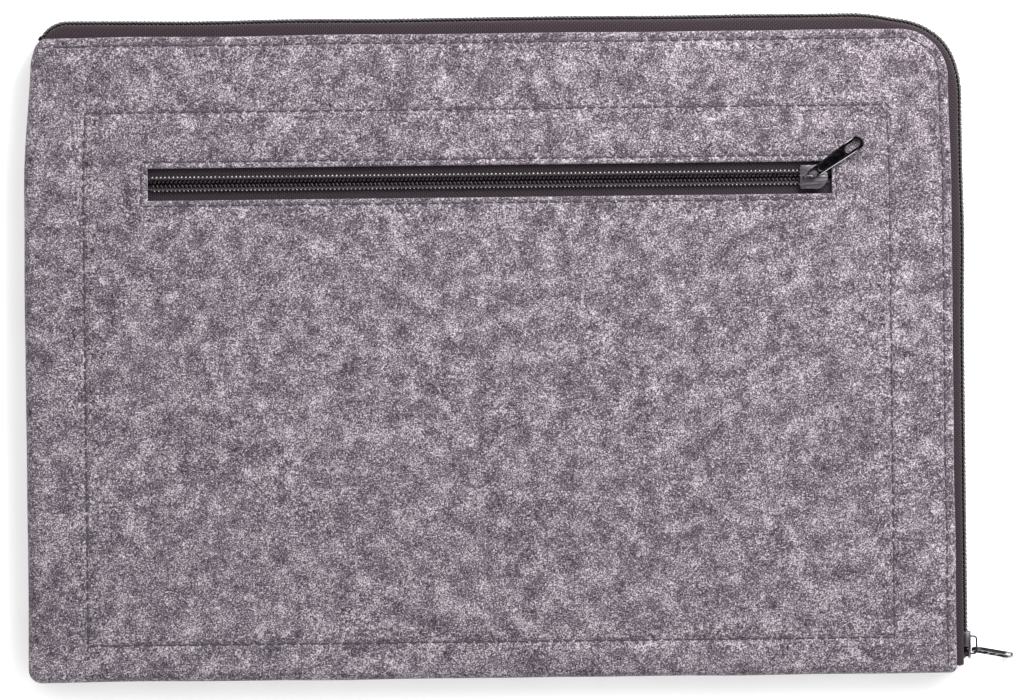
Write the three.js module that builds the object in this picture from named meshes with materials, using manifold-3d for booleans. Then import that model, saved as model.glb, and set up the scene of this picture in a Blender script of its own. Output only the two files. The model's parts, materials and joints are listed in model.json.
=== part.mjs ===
// Padded felt laptop sleeve lying flat, with an L-shaped edge zip and a zipped front pocket.
// Millimetres, +Z up. X runs across the width, Y up the height. The origin is the middle of the
// back panel's underside, so the sleeve stands on z = 0 with its front panel up.
// The main zip closes from the top left, round the top right corner, down to the bottom right.

import * as THREE from "three";
import { mergeVertices } from "three/addons/utils/BufferGeometryUtils.js";
import Module from "manifold-3d";

// ---------------------------------------------------------------------------------------------
// Driving dimensions
// ---------------------------------------------------------------------------------------------

const FELT_WIDTH = 346;
const FELT_HEIGHT = 240;
const FELT_THICKNESS = 3;
const SLEEVE_THICKNESS = 18;
const EDGE_ROUNDING = 1.3;
const WALL_OVERLAP = 1.4;
const ZIP_CORNER_RADIUS = 16.5;
const TOP_LEFT_RADIUS = 9;
const BOTTOM_CORNER_RADIUS = 5;

const GAP = 0.3;
const HALF_GAP = 0.15;

const TAPE_THICKNESS = 0.55;
const TAPE_WIDTH_FLAT = 10.5;
const TAPE_BEND_RADIUS = 1;
const COIL_THICKNESS = 1.8;
const COIL_WIDTH = 2.5;
const COIL_CHAMFER = 0.4;
const TOP_STOP_LENGTH = 1.45;
const CHAIN_HALF_SPLIT = 0.6;
const FILLER_HOLE_RADIUS = 0.5;
const FILLER_CORD_RADIUS = 0.32;
const CORD_SIDES = 6;

const TOP_ZIP_REACH = 4.25;
const RIGHT_ZIP_REACH = 1.95;
const ZIP_PATH_RADIUS = 30;
const ZIP_START_RADIUS = 25;
const ZIP_START_ANGLE = 38;
const ZIP_START_X = -150;
const TAPE_END_Y = -117.8;
const COIL_END_Y = -115.4;

const WALL_LEFT_TOP_Y = 108;
const WALL_BOTTOM_RIGHT_X = 162;

const SLOT_LEFT_X = -126.8;
const SLOT_RIGHT_X = 127.4;
const SLOT_CENTRE_Y = 65.2;
const SLOT_WIDTH = 11.6;
const POCKET_TAPE_WIDTH = 15;
const POCKET_TAPE_OVERHANG = 6.5;

const BAG_LEFT_X = -150.8;
const BAG_RIGHT_X = 149.8;
const BAG_BOTTOM_Y = -106.5;
const BAG_TOP_Y = 91.9;
const BAG_MARGIN = 4;
const BAG_RIM_SLOPE = 6;
const BAG_THICKNESS = 0.6;
const BAG_FLOOR_TOP_Z = 12.9;

const SEAM_INSET = 2.6;
const SLOT_SEAM_INSET = 2.4;
const SEAM_END_Y = -117;
const SEAM_START_X = -160;
const THREAD_WIDTH = 0.5;
const THREAD_DEPTH = 0.35;
const GROOVE_WIDTH = 1.1;
const GROOVE_DEPTH = 0.75;
const THREAD_RECESS = 0.1;

// How far a cutting shape runs past the surface it cuts
const CUT_PAST = 1;

const SLIDER_LENGTH = 10.4;
const SLIDER_WIDTH = 9.3;
const SLIDER_THROAT_WIDTH = 7.4;
const SLIDER_PLATE = 0.8;
const SLIDER_FLANGE_INNER = 3.45;
const SLIDER_FLANGE_ABOVE_TAPE = 0.35;
const NECK_HALF_WIDTH = 0.3;
const NECK_FROM = 1.6;
const NECK_TO = 4.4;
const METAL_ROUNDING = 0.2;
// How far the slider's joined solids reach into each other
const SINK = 0.3;
const BAIL_STRIP = 0.7;
const BAIL_WIDTH = 1;
const BAIL_CORNER_RADIUS = 0.9;
const BAR_ABOVE_PLATE = 1;
const STRIP_ABOVE_BAR = 0.95;
const RIDGE_HEIGHT = 0.2;

const TAB_WIDTH = 6;
const TAB_THICKNESS = 1.2;
const TAB_BAR = 0.75;
const TAB_RIM = 0.75;
const TAB_HOLE_REACH = 6.2;
const TAB_RECESS = 0.3;
const TAB_WINDOW_HALF_WIDTH = 1.5;
const TAB_WEB_TO_WINDOW = 0.7;
const TAB_RING_TO_WEB = 0.6;

const MAIN_SLIDER_Y = -109.9;
const POCKET_SLIDER_X = 121.3;

// Where each bail stands on its slider, where the tab's bar lies in it and where its foot ends
const MAIN_BAIL = { from: -3.6, to: 3.6, bar: 1.6, footTo: 3.6 };
const POCKET_BAIL = { from: -4.0, to: 0.35, bar: -2.0, footTo: 4.1 };

// Each tab's length, and the web between its ring and its window
const MAIN_TAB = { length: 17, webEnd: 9.2, windowEnd: 14.2 };
const POCKET_TAB = { length: 25, webEnd: 14, windowEnd: 21.9 };

const MAIN_TAB_DROOP_DEG = 24;
const MAIN_TAB_TURN_DEG = -11;
const MAIN_TAB_UPRIGHT_DEG = 73;
const POCKET_TAB_TURN_DEG = 34.5;

const COLOURS = {
  felt: 0x8f8791,
  bag: 0x4d474e,
  tape: 0x3a3338,
  coil: 0x1d1a1d,
  cord: 0x2b272b,
  metal: 0x2a292c,
  thread: 0x37313a,
};

// ---------------------------------------------------------------------------------------------
// Sizes that follow from those
// ---------------------------------------------------------------------------------------------

const MID_Z = SLEEVE_THICKNESS / 2;
const LEFT = -FELT_WIDTH / 2;
const RIGHT = FELT_WIDTH / 2;
const BOTTOM = -FELT_HEIGHT / 2;
const TOP = FELT_HEIGHT / 2;
const FRONT_INNER_Z = SLEEVE_THICKNESS - FELT_THICKNESS;
const ZIP_TOP_Y = TOP + TOP_ZIP_REACH;
const ZIP_RIGHT_X = RIGHT + RIGHT_ZIP_REACH;
const SLOT_BOTTOM_Y = SLOT_CENTRE_Y - SLOT_WIDTH / 2;
const SLOT_TOP_Y = SLOT_CENTRE_Y + SLOT_WIDTH / 2;
const POCKET_TAPE_TOP_Z = FRONT_INNER_Z - HALF_GAP;
const BAG_RIM_TOP_Z = FRONT_INNER_Z - GAP;
const PLATE_TOP = HALF_GAP + COIL_THICKNESS + GAP + SLIDER_PLATE;
const BAR_HEIGHT = PLATE_TOP + BAR_ABOVE_PLATE;
const STRIP_TOP = BAR_HEIGHT + STRIP_ABOVE_BAR + BAIL_STRIP;
const BOTTOM_PLATE_TOP = -TAPE_THICKNESS - GAP;

// ---------------------------------------------------------------------------------------------
// Solids: joining and cutting
// ---------------------------------------------------------------------------------------------

const wasm = await Module();
wasm.setup();

/** A closed three.js geometry as a solid that can be joined and cut. */
function toSolid(geometry) {
  const bare = geometry.clone();
  bare.deleteAttribute("normal");
  bare.deleteAttribute("uv");
  const merged = mergeVertices(bare, 1e-5);
  return new wasm.Manifold(new wasm.Mesh({
    numProp: 3,
    vertProperties: new Float32Array(merged.attributes.position.array),
    triVerts: new Uint32Array(merged.index.array),
  }));
}

/** A solid as a three.js geometry. */
function toGeometry(solid) {
  const mesh = solid.getMesh();
  const geometry = new THREE.BufferGeometry();
  geometry.setAttribute("position", new THREE.BufferAttribute(mesh.vertProperties, 3));
  geometry.setIndex(new THREE.BufferAttribute(mesh.triVerts, 1));
  geometry.computeVertexNormals();
  return geometry;
}

/** Joins the first geometry with the others in `added` and cuts those in `removed` from it. */
function combine(first, added, removed = []) {
  let solid = toSolid(first);
  for (const geometry of added) {
    solid = solid.add(toSolid(geometry));
  }
  for (const geometry of removed) {
    solid = solid.subtract(toSolid(geometry));
  }
  return toGeometry(solid);
}

/** A named mesh with its own material. */
function piece(name, geometry, color, roughness, metalness = 0) {
  const material = new THREE.MeshStandardMaterial({ color, roughness, metalness });
  const mesh = new THREE.Mesh(geometry, material);
  mesh.name = name;
  return mesh;
}

// ---------------------------------------------------------------------------------------------
// Shapes and paths
// ---------------------------------------------------------------------------------------------

/** A path through given stations, so that a sweep gets one section at each of them. */
class StationPath extends THREE.Curve {
  constructor(stations) {
    super();
    this.stations = stations;
  }

  getPointAt(u, target = new THREE.Vector3()) {
    const last = this.stations.length - 1;
    return target.copy(this.stations[Math.round(u * last)]);
  }

  getTangentAt(u, target = new THREE.Vector3()) {
    const last = this.stations.length - 1;
    const index = Math.round(u * last);
    const before = this.stations[Math.max(index - 1, 0)];
    const after = this.stations[Math.min(index + 1, last)];
    return target.subVectors(after, before).normalize();
  }
}

/** Points of an arc in the XY plane, from one angle to another, in degrees. */
function arcPoints(centreX, centreY, radius, fromDeg, toDeg, steps) {
  const points = [];
  for (let i = 0; i <= steps; i += 1) {
    const angle = THREE.MathUtils.degToRad(fromDeg + ((toDeg - fromDeg) * i) / steps);
    const x = centreX + radius * Math.cos(angle);
    const y = centreY + radius * Math.sin(angle);
    points.push(new THREE.Vector3(x, y, 0));
  }
  return points;
}

/** The line that the main zip's tape face follows, from under the top left corner to endY. */
function mainZipPath(endY) {
  const startY = ZIP_TOP_Y - ZIP_START_RADIUS;
  const start = arcPoints(ZIP_START_X, startY, ZIP_START_RADIUS, 90 + ZIP_START_ANGLE, 90, 4);
  const cornerX = ZIP_RIGHT_X - ZIP_PATH_RADIUS;
  const cornerY = ZIP_TOP_Y - ZIP_PATH_RADIUS;
  const corner = arcPoints(cornerX, cornerY, ZIP_PATH_RADIUS, 90, 0, 10);
  return [...start, ...corner, new THREE.Vector3(ZIP_RIGHT_X, endY, 0)];
}

/** A straight path along X at the pocket chain's centre line. */
function pocketPath(fromX, toX) {
  return [new THREE.Vector3(fromX, SLOT_CENTRE_Y, 0), new THREE.Vector3(toX, SLOT_CENTRE_Y, 0)];
}

/** Sweeps a section along stations in the XY plane. Section points are [outward, height]. */
function sweep(section, stations, hole = null) {
  const toShapePoint = ([outward, height]) => new THREE.Vector2(-height, outward);
  const outline = section.map(toShapePoint);
  if (THREE.ShapeUtils.isClockWise(outline)) {
    outline.reverse();
  }
  const shape = new THREE.Shape(outline);
  if (hole) {
    shape.holes.push(new THREE.Path(hole.map(toShapePoint)));
  }
  return new THREE.ExtrudeGeometry(shape, {
    steps: stations.length - 1,
    extrudePath: new StationPath(stations),
  });
}

/** A section's points moved to the other side of the middle plane. */
function mirroredSection(section) {
  return section.map(([outward, height]) => [outward, SLEEVE_THICKNESS - height]);
}

/** A rectangle from low to high corner as section points. */
function rectangle(lowU, highU, lowZ, highZ) {
  return [[lowU, lowZ], [highU, lowZ], [highU, highZ], [lowU, highZ]];
}

/** A rectangle with cut corners as section points. */
function chamferedRectangle(lowU, highU, lowZ, highZ, cut) {
  return [
    [lowU + cut, lowZ], [highU - cut, lowZ], [highU, lowZ + cut], [highU, highZ - cut],
    [highU - cut, highZ], [lowU + cut, highZ], [lowU, highZ - cut], [lowU, lowZ + cut],
  ];
}

/** A polygon standing for a circle, as section points. */
function roundSection(centreU, centreZ, radius, sides) {
  const points = [];
  for (let i = 0; i < sides; i += 1) {
    const angle = (2 * Math.PI * (i + 0.5)) / sides;
    points.push([centreU + radius * Math.cos(angle), centreZ + radius * Math.sin(angle)]);
  }
  return points;
}

/** A band of even width beside a line in the XY plane, as a closed shape. */
function bandShape(line, width) {
  const outer = [];
  const inner = [];
  const path = new StationPath(line);
  for (let i = 0; i < line.length; i += 1) {
    const tangent = path.getTangentAt(i / (line.length - 1));
    const side = new THREE.Vector2(-tangent.y, tangent.x).multiplyScalar(width / 2);
    outer.push(new THREE.Vector2(line[i].x + side.x, line[i].y + side.y));
    inner.unshift(new THREE.Vector2(line[i].x - side.x, line[i].y - side.y));
  }
  return new THREE.Shape([...outer, ...inner]);
}

/** A rectangular ring of even width on a centre line, as a shape with a hole. */
function ringShape(lowX, lowY, highX, highY, width) {
  const half = width / 2;
  const corners = (grow) => [
    new THREE.Vector2(lowX - grow, lowY - grow), new THREE.Vector2(highX + grow, lowY - grow),
    new THREE.Vector2(highX + grow, highY + grow), new THREE.Vector2(lowX - grow, highY + grow),
  ];
  const shape = new THREE.Shape(corners(half));
  shape.holes.push(new THREE.Path(corners(-half)));
  return shape;
}

/** Extrudes a flat shape from one height to another. */
function slab(shape, lowZ, highZ) {
  const geometry = new THREE.ExtrudeGeometry(shape, {
    depth: highZ - lowZ,
    bevelEnabled: false,
    curveSegments: 6,
  });
  geometry.translate(0, 0, lowZ);
  return geometry;
}

/** Extrudes a flat shape with rounded rims, its outside size kept. */
function roundedSlab(shape, lowZ, highZ, rounding, segments = 3) {
  const geometry = new THREE.ExtrudeGeometry(shape, {
    depth: highZ - lowZ - 2 * rounding,
    bevelEnabled: true,
    bevelThickness: rounding,
    bevelSize: rounding,
    bevelOffset: -rounding,
    bevelSegments: segments,
    curveSegments: 8,
  });
  geometry.translate(0, 0, lowZ + rounding);
  return geometry;
}

/** A stadium from one centre to another along x, as a closed path of the given class. */
function stadium(PathClass, fromX, toX, radius) {
  const path = new PathClass();
  path.absarc(toX, 0, radius, -Math.PI / 2, Math.PI / 2, false);
  path.absarc(fromX, 0, radius, Math.PI / 2, 1.5 * Math.PI, false);
  path.closePath();
  return path;
}

// ---------------------------------------------------------------------------------------------
// Felt panels
// ---------------------------------------------------------------------------------------------

/** The felt's outline: the zip corner is the roundest. */
function feltOutline() {
  const shape = new THREE.Shape();
  const bottomRadius = BOTTOM_CORNER_RADIUS;
  const corner = (x, y, radius, from) => {
    const start = THREE.MathUtils.degToRad(from);
    shape.absarc(x, y, radius, start, start + Math.PI / 2, false);
  };
  corner(RIGHT - bottomRadius, BOTTOM + bottomRadius, bottomRadius, -90);
  corner(RIGHT - ZIP_CORNER_RADIUS, TOP - ZIP_CORNER_RADIUS, ZIP_CORNER_RADIUS, 0);
  corner(LEFT + TOP_LEFT_RADIUS, TOP - TOP_LEFT_RADIUS, TOP_LEFT_RADIUS, 90);
  corner(LEFT + bottomRadius, BOTTOM + bottomRadius, bottomRadius, 180);
  shape.closePath();
  return shape;
}

/** The line of the closed edges, left and bottom, `inset` inside the felt's outline. */
function closedEdgeLine(inset) {
  const radius = BOTTOM_CORNER_RADIUS - inset;
  const centreX = LEFT + BOTTOM_CORNER_RADIUS;
  const centreY = BOTTOM + BOTTOM_CORNER_RADIUS;
  return [
    new THREE.Vector3(LEFT + inset, WALL_LEFT_TOP_Y, 0),
    ...arcPoints(centreX, centreY, radius, 180, 270, 5),
    new THREE.Vector3(WALL_BOTTOM_RIGHT_X, BOTTOM + inset, 0),
  ];
}

/** The stitch line along the zip, `SEAM_INSET` inside the felt's top and right edges. */
function zipSeamLine() {
  const radius = ZIP_CORNER_RADIUS - SEAM_INSET;
  const centreX = RIGHT - ZIP_CORNER_RADIUS;
  const centreY = TOP - ZIP_CORNER_RADIUS;
  return [
    new THREE.Vector3(SEAM_START_X, TOP - SEAM_INSET, 0),
    ...arcPoints(centreX, centreY, radius, 90, 0, 8),
    new THREE.Vector3(RIGHT - SEAM_INSET, SEAM_END_Y, 0),
  ];
}

/** The stitched rectangle of the pocket bag. */
function bagRing(width) {
  return ringShape(BAG_LEFT_X, BAG_BOTTOM_Y, BAG_RIGHT_X, BAG_TOP_Y, width);
}

/** The stitched rectangle round the pocket slot. */
function slotRing(width) {
  return ringShape(SLOT_LEFT_X - SLOT_SEAM_INSET, SLOT_BOTTOM_Y - SLOT_SEAM_INSET,
    SLOT_RIGHT_X + SLOT_SEAM_INSET, SLOT_TOP_Y + SLOT_SEAM_INSET, width);
}

/** The slot's outline as a shape. */
function slotShape() {
  return new THREE.Shape([
    new THREE.Vector2(SLOT_LEFT_X, SLOT_BOTTOM_Y), new THREE.Vector2(SLOT_RIGHT_X, SLOT_BOTTOM_Y),
    new THREE.Vector2(SLOT_RIGHT_X, SLOT_TOP_Y), new THREE.Vector2(SLOT_LEFT_X, SLOT_TOP_Y),
  ]);
}

/** The front panel: its left and bottom edges turn down to the middle plane. */
function frontPanel() {
  const face = roundedSlab(feltOutline(), FRONT_INNER_Z, SLEEVE_THICKNESS, EDGE_ROUNDING);
  const wallLine = closedEdgeLine(FELT_THICKNESS / 2);
  const wall = slab(bandShape(wallLine, FELT_THICKNESS), MID_Z + HALF_GAP, FRONT_INNER_Z + WALL_OVERLAP);
  const grooveFloor = SLEEVE_THICKNESS - GROOVE_DEPTH;
  const above = SLEEVE_THICKNESS + CUT_PAST;
  return combine(face, [wall], [
    slab(slotShape(), FRONT_INNER_Z - CUT_PAST, above),
    slab(bagRing(GROOVE_WIDTH), grooveFloor, above),
    slab(slotRing(GROOVE_WIDTH), grooveFloor, above),
    slab(bandShape(zipSeamLine(), GROOVE_WIDTH), grooveFloor, above),
  ]);
}

/** The back panel: its left and bottom edges turn up to the middle plane. */
function backPanel() {
  const face = roundedSlab(feltOutline(), 0, FELT_THICKNESS, EDGE_ROUNDING);
  const wallLine = closedEdgeLine(FELT_THICKNESS / 2);
  const wall = slab(bandShape(wallLine, FELT_THICKNESS), FELT_THICKNESS - WALL_OVERLAP, MID_Z - HALF_GAP);
  return combine(face, [wall], [
    slab(bandShape(zipSeamLine(), GROOVE_WIDTH), -CUT_PAST, GROOVE_DEPTH),
  ]);
}

/** How far up its rim lifts the pocket bag at a point, from 0 in the middle to 1 at the rim. */
function bagLift(x, y) {
  const toEdge = Math.min(
    x - BAG_LEFT_X, BAG_RIGHT_X - x, y - BAG_BOTTOM_Y, BAG_TOP_Y - y,
  );
  return 1 - THREE.MathUtils.clamp(toEdge / BAG_RIM_SLOPE, 0, 1);
}

/** The pocket bag: a thin layer that hangs just below the slider and rises to its sewn rim. */
function pocketBag() {
  const columns = [0, BAG_MARGIN, BAG_MARGIN + BAG_RIM_SLOPE];
  const width = BAG_RIGHT_X - BAG_LEFT_X + 2 * BAG_MARGIN;
  const height = BAG_TOP_Y - BAG_BOTTOM_Y + 2 * BAG_MARGIN;
  const stops = (size) => [...columns, size - columns[2], size - columns[1], size];
  const xs = stops(width).map((offset) => BAG_LEFT_X - BAG_MARGIN + offset);
  const ys = stops(height).map((offset) => BAG_BOTTOM_Y - BAG_MARGIN + offset);
  const geometry = new THREE.BoxGeometry(1, 1, 1, xs.length - 1, ys.length - 1, 1);
  const position = geometry.attributes.position;
  for (let i = 0; i < position.count; i += 1) {
    const x = xs[Math.round((position.getX(i) + 0.5) * (xs.length - 1))];
    const y = ys[Math.round((position.getY(i) + 0.5) * (ys.length - 1))];
    const top = THREE.MathUtils.lerp(BAG_FLOOR_TOP_Z, BAG_RIM_TOP_Z, bagLift(x, y));
    const z = position.getZ(i) > 0 ? top : top - BAG_THICKNESS;
    position.setXYZ(i, x, y, z);
  }
  return geometry;
}

// ---------------------------------------------------------------------------------------------
// Zips
// ---------------------------------------------------------------------------------------------

/** Section of the main zip's front tape: flat under the felt, then bent down to the chain. */
function frontTapeSection() {
  const top = FRONT_INNER_Z - GAP;
  const bendZ = top - TAPE_BEND_RADIUS;
  const inside = TAPE_BEND_RADIUS - TAPE_THICKNESS;
  const edge = MID_Z + CHAIN_HALF_SPLIT;
  const bend = (radius, fromDeg, toDeg) => arcPoints(
    -TAPE_BEND_RADIUS, bendZ, radius, fromDeg, toDeg, 3,
  ).map((point) => [point.x, point.y]);
  return [
    [-TAPE_WIDTH_FLAT, top],
    ...bend(TAPE_BEND_RADIUS, 90, 0),
    [0, edge],
    [-TAPE_THICKNESS, edge],
    ...bend(inside, 0, 90),
    [-TAPE_WIDTH_FLAT, top - TAPE_THICKNESS],
  ];
}

/** Section of the main zip's front coil, its hollow for the filler cord, and that cord. */
function frontCoilSections() {
  const lowZ = MID_Z + CHAIN_HALF_SPLIT;
  const centreU = HALF_GAP + COIL_THICKNESS / 2;
  const centreZ = lowZ + COIL_WIDTH / 2;
  const highU = HALF_GAP + COIL_THICKNESS;
  return {
    coil: chamferedRectangle(HALF_GAP, highU, lowZ, lowZ + COIL_WIDTH, COIL_CHAMFER),
    hollow: roundSection(centreU, centreZ, FILLER_HOLE_RADIUS, CORD_SIDES),
    cord: roundSection(centreU, centreZ, FILLER_CORD_RADIUS, CORD_SIDES),
  };
}

/** The main zip's tapes, coils, filler cords and top stops. */
function mainChain() {
  const tapePath = mainZipPath(TAPE_END_Y);
  const coilPath = mainZipPath(COIL_END_Y);
  const tape = frontTapeSection();
  const { coil, hollow, cord } = frontCoilSections();
  const stop = rectangle(HALF_GAP, HALF_GAP + COIL_THICKNESS,
    MID_Z + CHAIN_HALF_SPLIT, MID_Z + CHAIN_HALF_SPLIT + COIL_WIDTH);
  const stopPath = [
    new THREE.Vector3(ZIP_RIGHT_X, COIL_END_Y - HALF_GAP, 0),
    new THREE.Vector3(ZIP_RIGHT_X, COIL_END_Y - HALF_GAP - TOP_STOP_LENGTH, 0),
  ];
  const meshes = [];
  for (const side of ["front", "back"]) {
    const place = side === "front" ? (section) => section : mirroredSection;
    meshes.push(
      piece(`main_tape_${side}`, sweep(place(tape), tapePath), COLOURS.tape, 0.9),
      piece(`main_coil_${side}`, sweep(place(coil), coilPath, place(hollow)), COLOURS.coil, 0.4),
      piece(`main_filler_cord_${side}`, sweep(place(cord), coilPath), COLOURS.cord, 0.9),
      piece(`main_top_stop_${side}`, sweep(place(stop), stopPath), COLOURS.metal, 0.35, 0.8),
    );
  }
  return meshes;
}

/** The pocket zip's tapes, coils and filler cords: the coils lie in the slot. */
function pocketChain() {
  const tapePath = pocketPath(SLOT_LEFT_X - POCKET_TAPE_OVERHANG, SLOT_RIGHT_X + POCKET_TAPE_OVERHANG);
  const coilPath = pocketPath(SLOT_LEFT_X + GAP, SLOT_RIGHT_X - GAP);
  const tapeLow = POCKET_TAPE_TOP_Z - TAPE_THICKNESS;
  const coilLow = POCKET_TAPE_TOP_Z + HALF_GAP;
  const coilHigh = coilLow + COIL_THICKNESS;
  const centreU = CHAIN_HALF_SPLIT + COIL_WIDTH / 2;
  const centreZ = (coilLow + coilHigh) / 2;
  const sides = { upper: 1, lower: -1 };
  const meshes = [];
  for (const [side, sign] of Object.entries(sides)) {
    const place = (section) => section.map(([outward, height]) => [sign * outward, height]);
    const tape = place(rectangle(CHAIN_HALF_SPLIT, POCKET_TAPE_WIDTH, tapeLow, POCKET_TAPE_TOP_Z));
    const coil = place(chamferedRectangle(
      CHAIN_HALF_SPLIT, CHAIN_HALF_SPLIT + COIL_WIDTH, coilLow, coilHigh, COIL_CHAMFER,
    ));
    const hollow = place(roundSection(centreU, centreZ, FILLER_HOLE_RADIUS, CORD_SIDES));
    const cord = place(roundSection(centreU, centreZ, FILLER_CORD_RADIUS, CORD_SIDES));
    meshes.push(
      piece(`pocket_tape_${side}`, sweep(tape, tapePath), COLOURS.tape, 0.9),
      piece(`pocket_coil_${side}`, sweep(coil, coilPath, hollow), COLOURS.coil, 0.4),
      piece(`pocket_filler_cord_${side}`, sweep(cord, coilPath), COLOURS.cord, 0.9),
    );
  }
  return meshes;
}

// ---------------------------------------------------------------------------------------------
// Sliders and pull tabs
// ---------------------------------------------------------------------------------------------

/** A slider plate's outline: flat at the throat (-x), round at the mouth (+x). */
function plateOutline() {
  const halfWidth = SLIDER_WIDTH / 2;
  const shape = new THREE.Shape();
  shape.moveTo(-SLIDER_LENGTH / 2, -SLIDER_THROAT_WIDTH / 2);
  shape.absarc(SLIDER_LENGTH / 2 - halfWidth, 0, halfWidth, -Math.PI / 2, Math.PI / 2, false);
  shape.lineTo(-SLIDER_LENGTH / 2, SLIDER_THROAT_WIDTH / 2);
  shape.closePath();
  return shape;
}

/** A box from low to high corner. */
function block(low, high) {
  const size = high.map((value, axis) => value - low[axis]);
  const geometry = new THREE.BoxGeometry(...size);
  geometry.translate(...low.map((value, axis) => value + size[axis] / 2));
  return geometry;
}

/** The arched bail over the plate, open across the chain for the tab's bar. */
function bailArch(from, to) {
  const corner = BAIL_CORNER_RADIUS;
  const foot = PLATE_TOP - SINK;
  const shape = new THREE.Shape();
  shape.moveTo(from, foot);
  shape.lineTo(to, foot);
  shape.lineTo(to, STRIP_TOP - corner);
  shape.absarc(to - corner, STRIP_TOP - corner, corner, 0, Math.PI / 2, false);
  shape.absarc(from + corner, STRIP_TOP - corner, corner, Math.PI / 2, Math.PI, false);
  shape.closePath();
  const opening = new THREE.Path();
  opening.moveTo(from + BAIL_STRIP, PLATE_TOP);
  opening.lineTo(from + BAIL_STRIP, STRIP_TOP - BAIL_STRIP);
  opening.lineTo(to - BAIL_STRIP, STRIP_TOP - BAIL_STRIP);
  opening.lineTo(to - BAIL_STRIP, PLATE_TOP);
  opening.closePath();
  shape.holes.push(opening);
  const geometry = slab(shape, -BAIL_WIDTH / 2, BAIL_WIDTH / 2);
  geometry.rotateX(Math.PI / 2);
  return geometry;
}

/** A slider body. x runs to the mouth, z out of the tape's coil side, z = 0 on the tape. */
function sliderBody(bail) {
  const outline = plateOutline();
  const plateLow = PLATE_TOP - SLIDER_PLATE;
  const bottomLow = BOTTOM_PLATE_TOP - SLIDER_PLATE;
  const topPlate = roundedSlab(outline, plateLow, PLATE_TOP, METAL_ROUNDING, 2);
  const bottomPlate = roundedSlab(outline, bottomLow, BOTTOM_PLATE_TOP, METAL_ROUNDING, 2);
  const channel = block(
    [-SLIDER_LENGTH, -SLIDER_FLANGE_INNER, 0],
    [SLIDER_LENGTH, SLIDER_FLANGE_INNER, plateLow + SINK],
  );
  const flangeBlank = slab(outline, SLIDER_FLANGE_ABOVE_TAPE, plateLow + SINK);
  const flanges = combine(flangeBlank, [], [channel]);
  const neck = block(
    [NECK_FROM, -NECK_HALF_WIDTH, BOTTOM_PLATE_TOP - SINK],
    [NECK_TO, NECK_HALF_WIDTH, plateLow + SINK],
  );
  const ridgeEnd = [bail.footTo, BAIL_WIDTH / 2, PLATE_TOP + RIDGE_HEIGHT];
  const ridge = block([bail.to - BAIL_STRIP, -BAIL_WIDTH / 2, PLATE_TOP - SINK], ridgeEnd);
  return combine(topPlate, [flanges, neck, bottomPlate, bailArch(bail.from, bail.to), ridge]);
}

/** A pull tab. x runs from its bar to its tip, y across, z through its thickness. */
function pullTab({ length, webEnd, windowEnd }) {
  const radius = TAB_WIDTH / 2;
  const rootX = -TAB_BAR / 2;
  const holeRadius = radius - TAB_RIM;
  const outline = stadium(THREE.Shape, rootX + radius, rootX + length - radius, radius);
  outline.holes.push(
    stadium(THREE.Path, rootX + radius, TAB_HOLE_REACH - holeRadius, holeRadius),
    stadium(THREE.Path, webEnd + TAB_WEB_TO_WINDOW + TAB_WINDOW_HALF_WIDTH, windowEnd - TAB_WINDOW_HALF_WIDTH,
      TAB_WINDOW_HALF_WIDTH),
  );
  const half = TAB_THICKNESS / 2;
  const plate = roundedSlab(outline, -half, half, METAL_ROUNDING, 2);
  const recessFrom = [TAB_HOLE_REACH + TAB_RING_TO_WEB, -holeRadius];
  const recessTo = [webEnd, holeRadius];
  return combine(plate, [], [
    block([...recessFrom, half - TAB_RECESS], [...recessTo, half + CUT_PAST]),
    block([...recessFrom, -half - CUT_PAST], [...recessTo, TAB_RECESS - half]),
  ]);
}

/** Turns slider coordinates into the main zip's: the mouth faces -Y and the coil side +X. */
function mainSliderTurn() {
  return new THREE.Quaternion().setFromRotationMatrix(new THREE.Matrix4().makeBasis(
    new THREE.Vector3(0, -1, 0), new THREE.Vector3(0, 0, -1), new THREE.Vector3(1, 0, 0),
  ));
}

/** The main slider at the bottom right end of its chain. */
function mainSlider() {
  const body = piece("main_slider_body", sliderBody(MAIN_BAIL), COLOURS.metal, 0.35, 0.8);
  body.quaternion.copy(mainSliderTurn());
  body.position.set(ZIP_RIGHT_X, MAIN_SLIDER_Y, MID_Z);
  return body;
}

/** The main slider's tab: it sticks out to +X and droops until its tip is just off the ground. */
function mainTab() {
  const tab = piece("main_pull_tab", pullTab(MAIN_TAB), COLOURS.metal, 0.3, 0.8);
  const turn = THREE.MathUtils.degToRad(MAIN_TAB_TURN_DEG);
  const droop = THREE.MathUtils.degToRad(MAIN_TAB_DROOP_DEG);
  const yaw = new THREE.Quaternion().setFromAxisAngle(new THREE.Vector3(0, 0, 1), turn);
  const pitch = new THREE.Quaternion().setFromAxisAngle(new THREE.Vector3(0, 1, 0), droop);
  const roll = THREE.MathUtils.degToRad(MAIN_TAB_UPRIGHT_DEG);
  const upright = new THREE.Quaternion().setFromAxisAngle(new THREE.Vector3(1, 0, 0), roll);
  tab.quaternion.copy(yaw).multiply(pitch).multiply(upright);
  tab.position.set(ZIP_RIGHT_X + BAR_HEIGHT, MAIN_SLIDER_Y - MAIN_BAIL.bar, MID_Z);
  return tab;
}

/** The pocket slider at the right end of its slot. */
function pocketSlider() {
  const body = piece("pocket_slider_body", sliderBody(POCKET_BAIL), COLOURS.metal, 0.35, 0.8);
  body.position.set(POCKET_SLIDER_X, SLOT_CENTRE_Y, POCKET_TAPE_TOP_Z);
  return body;
}

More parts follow.
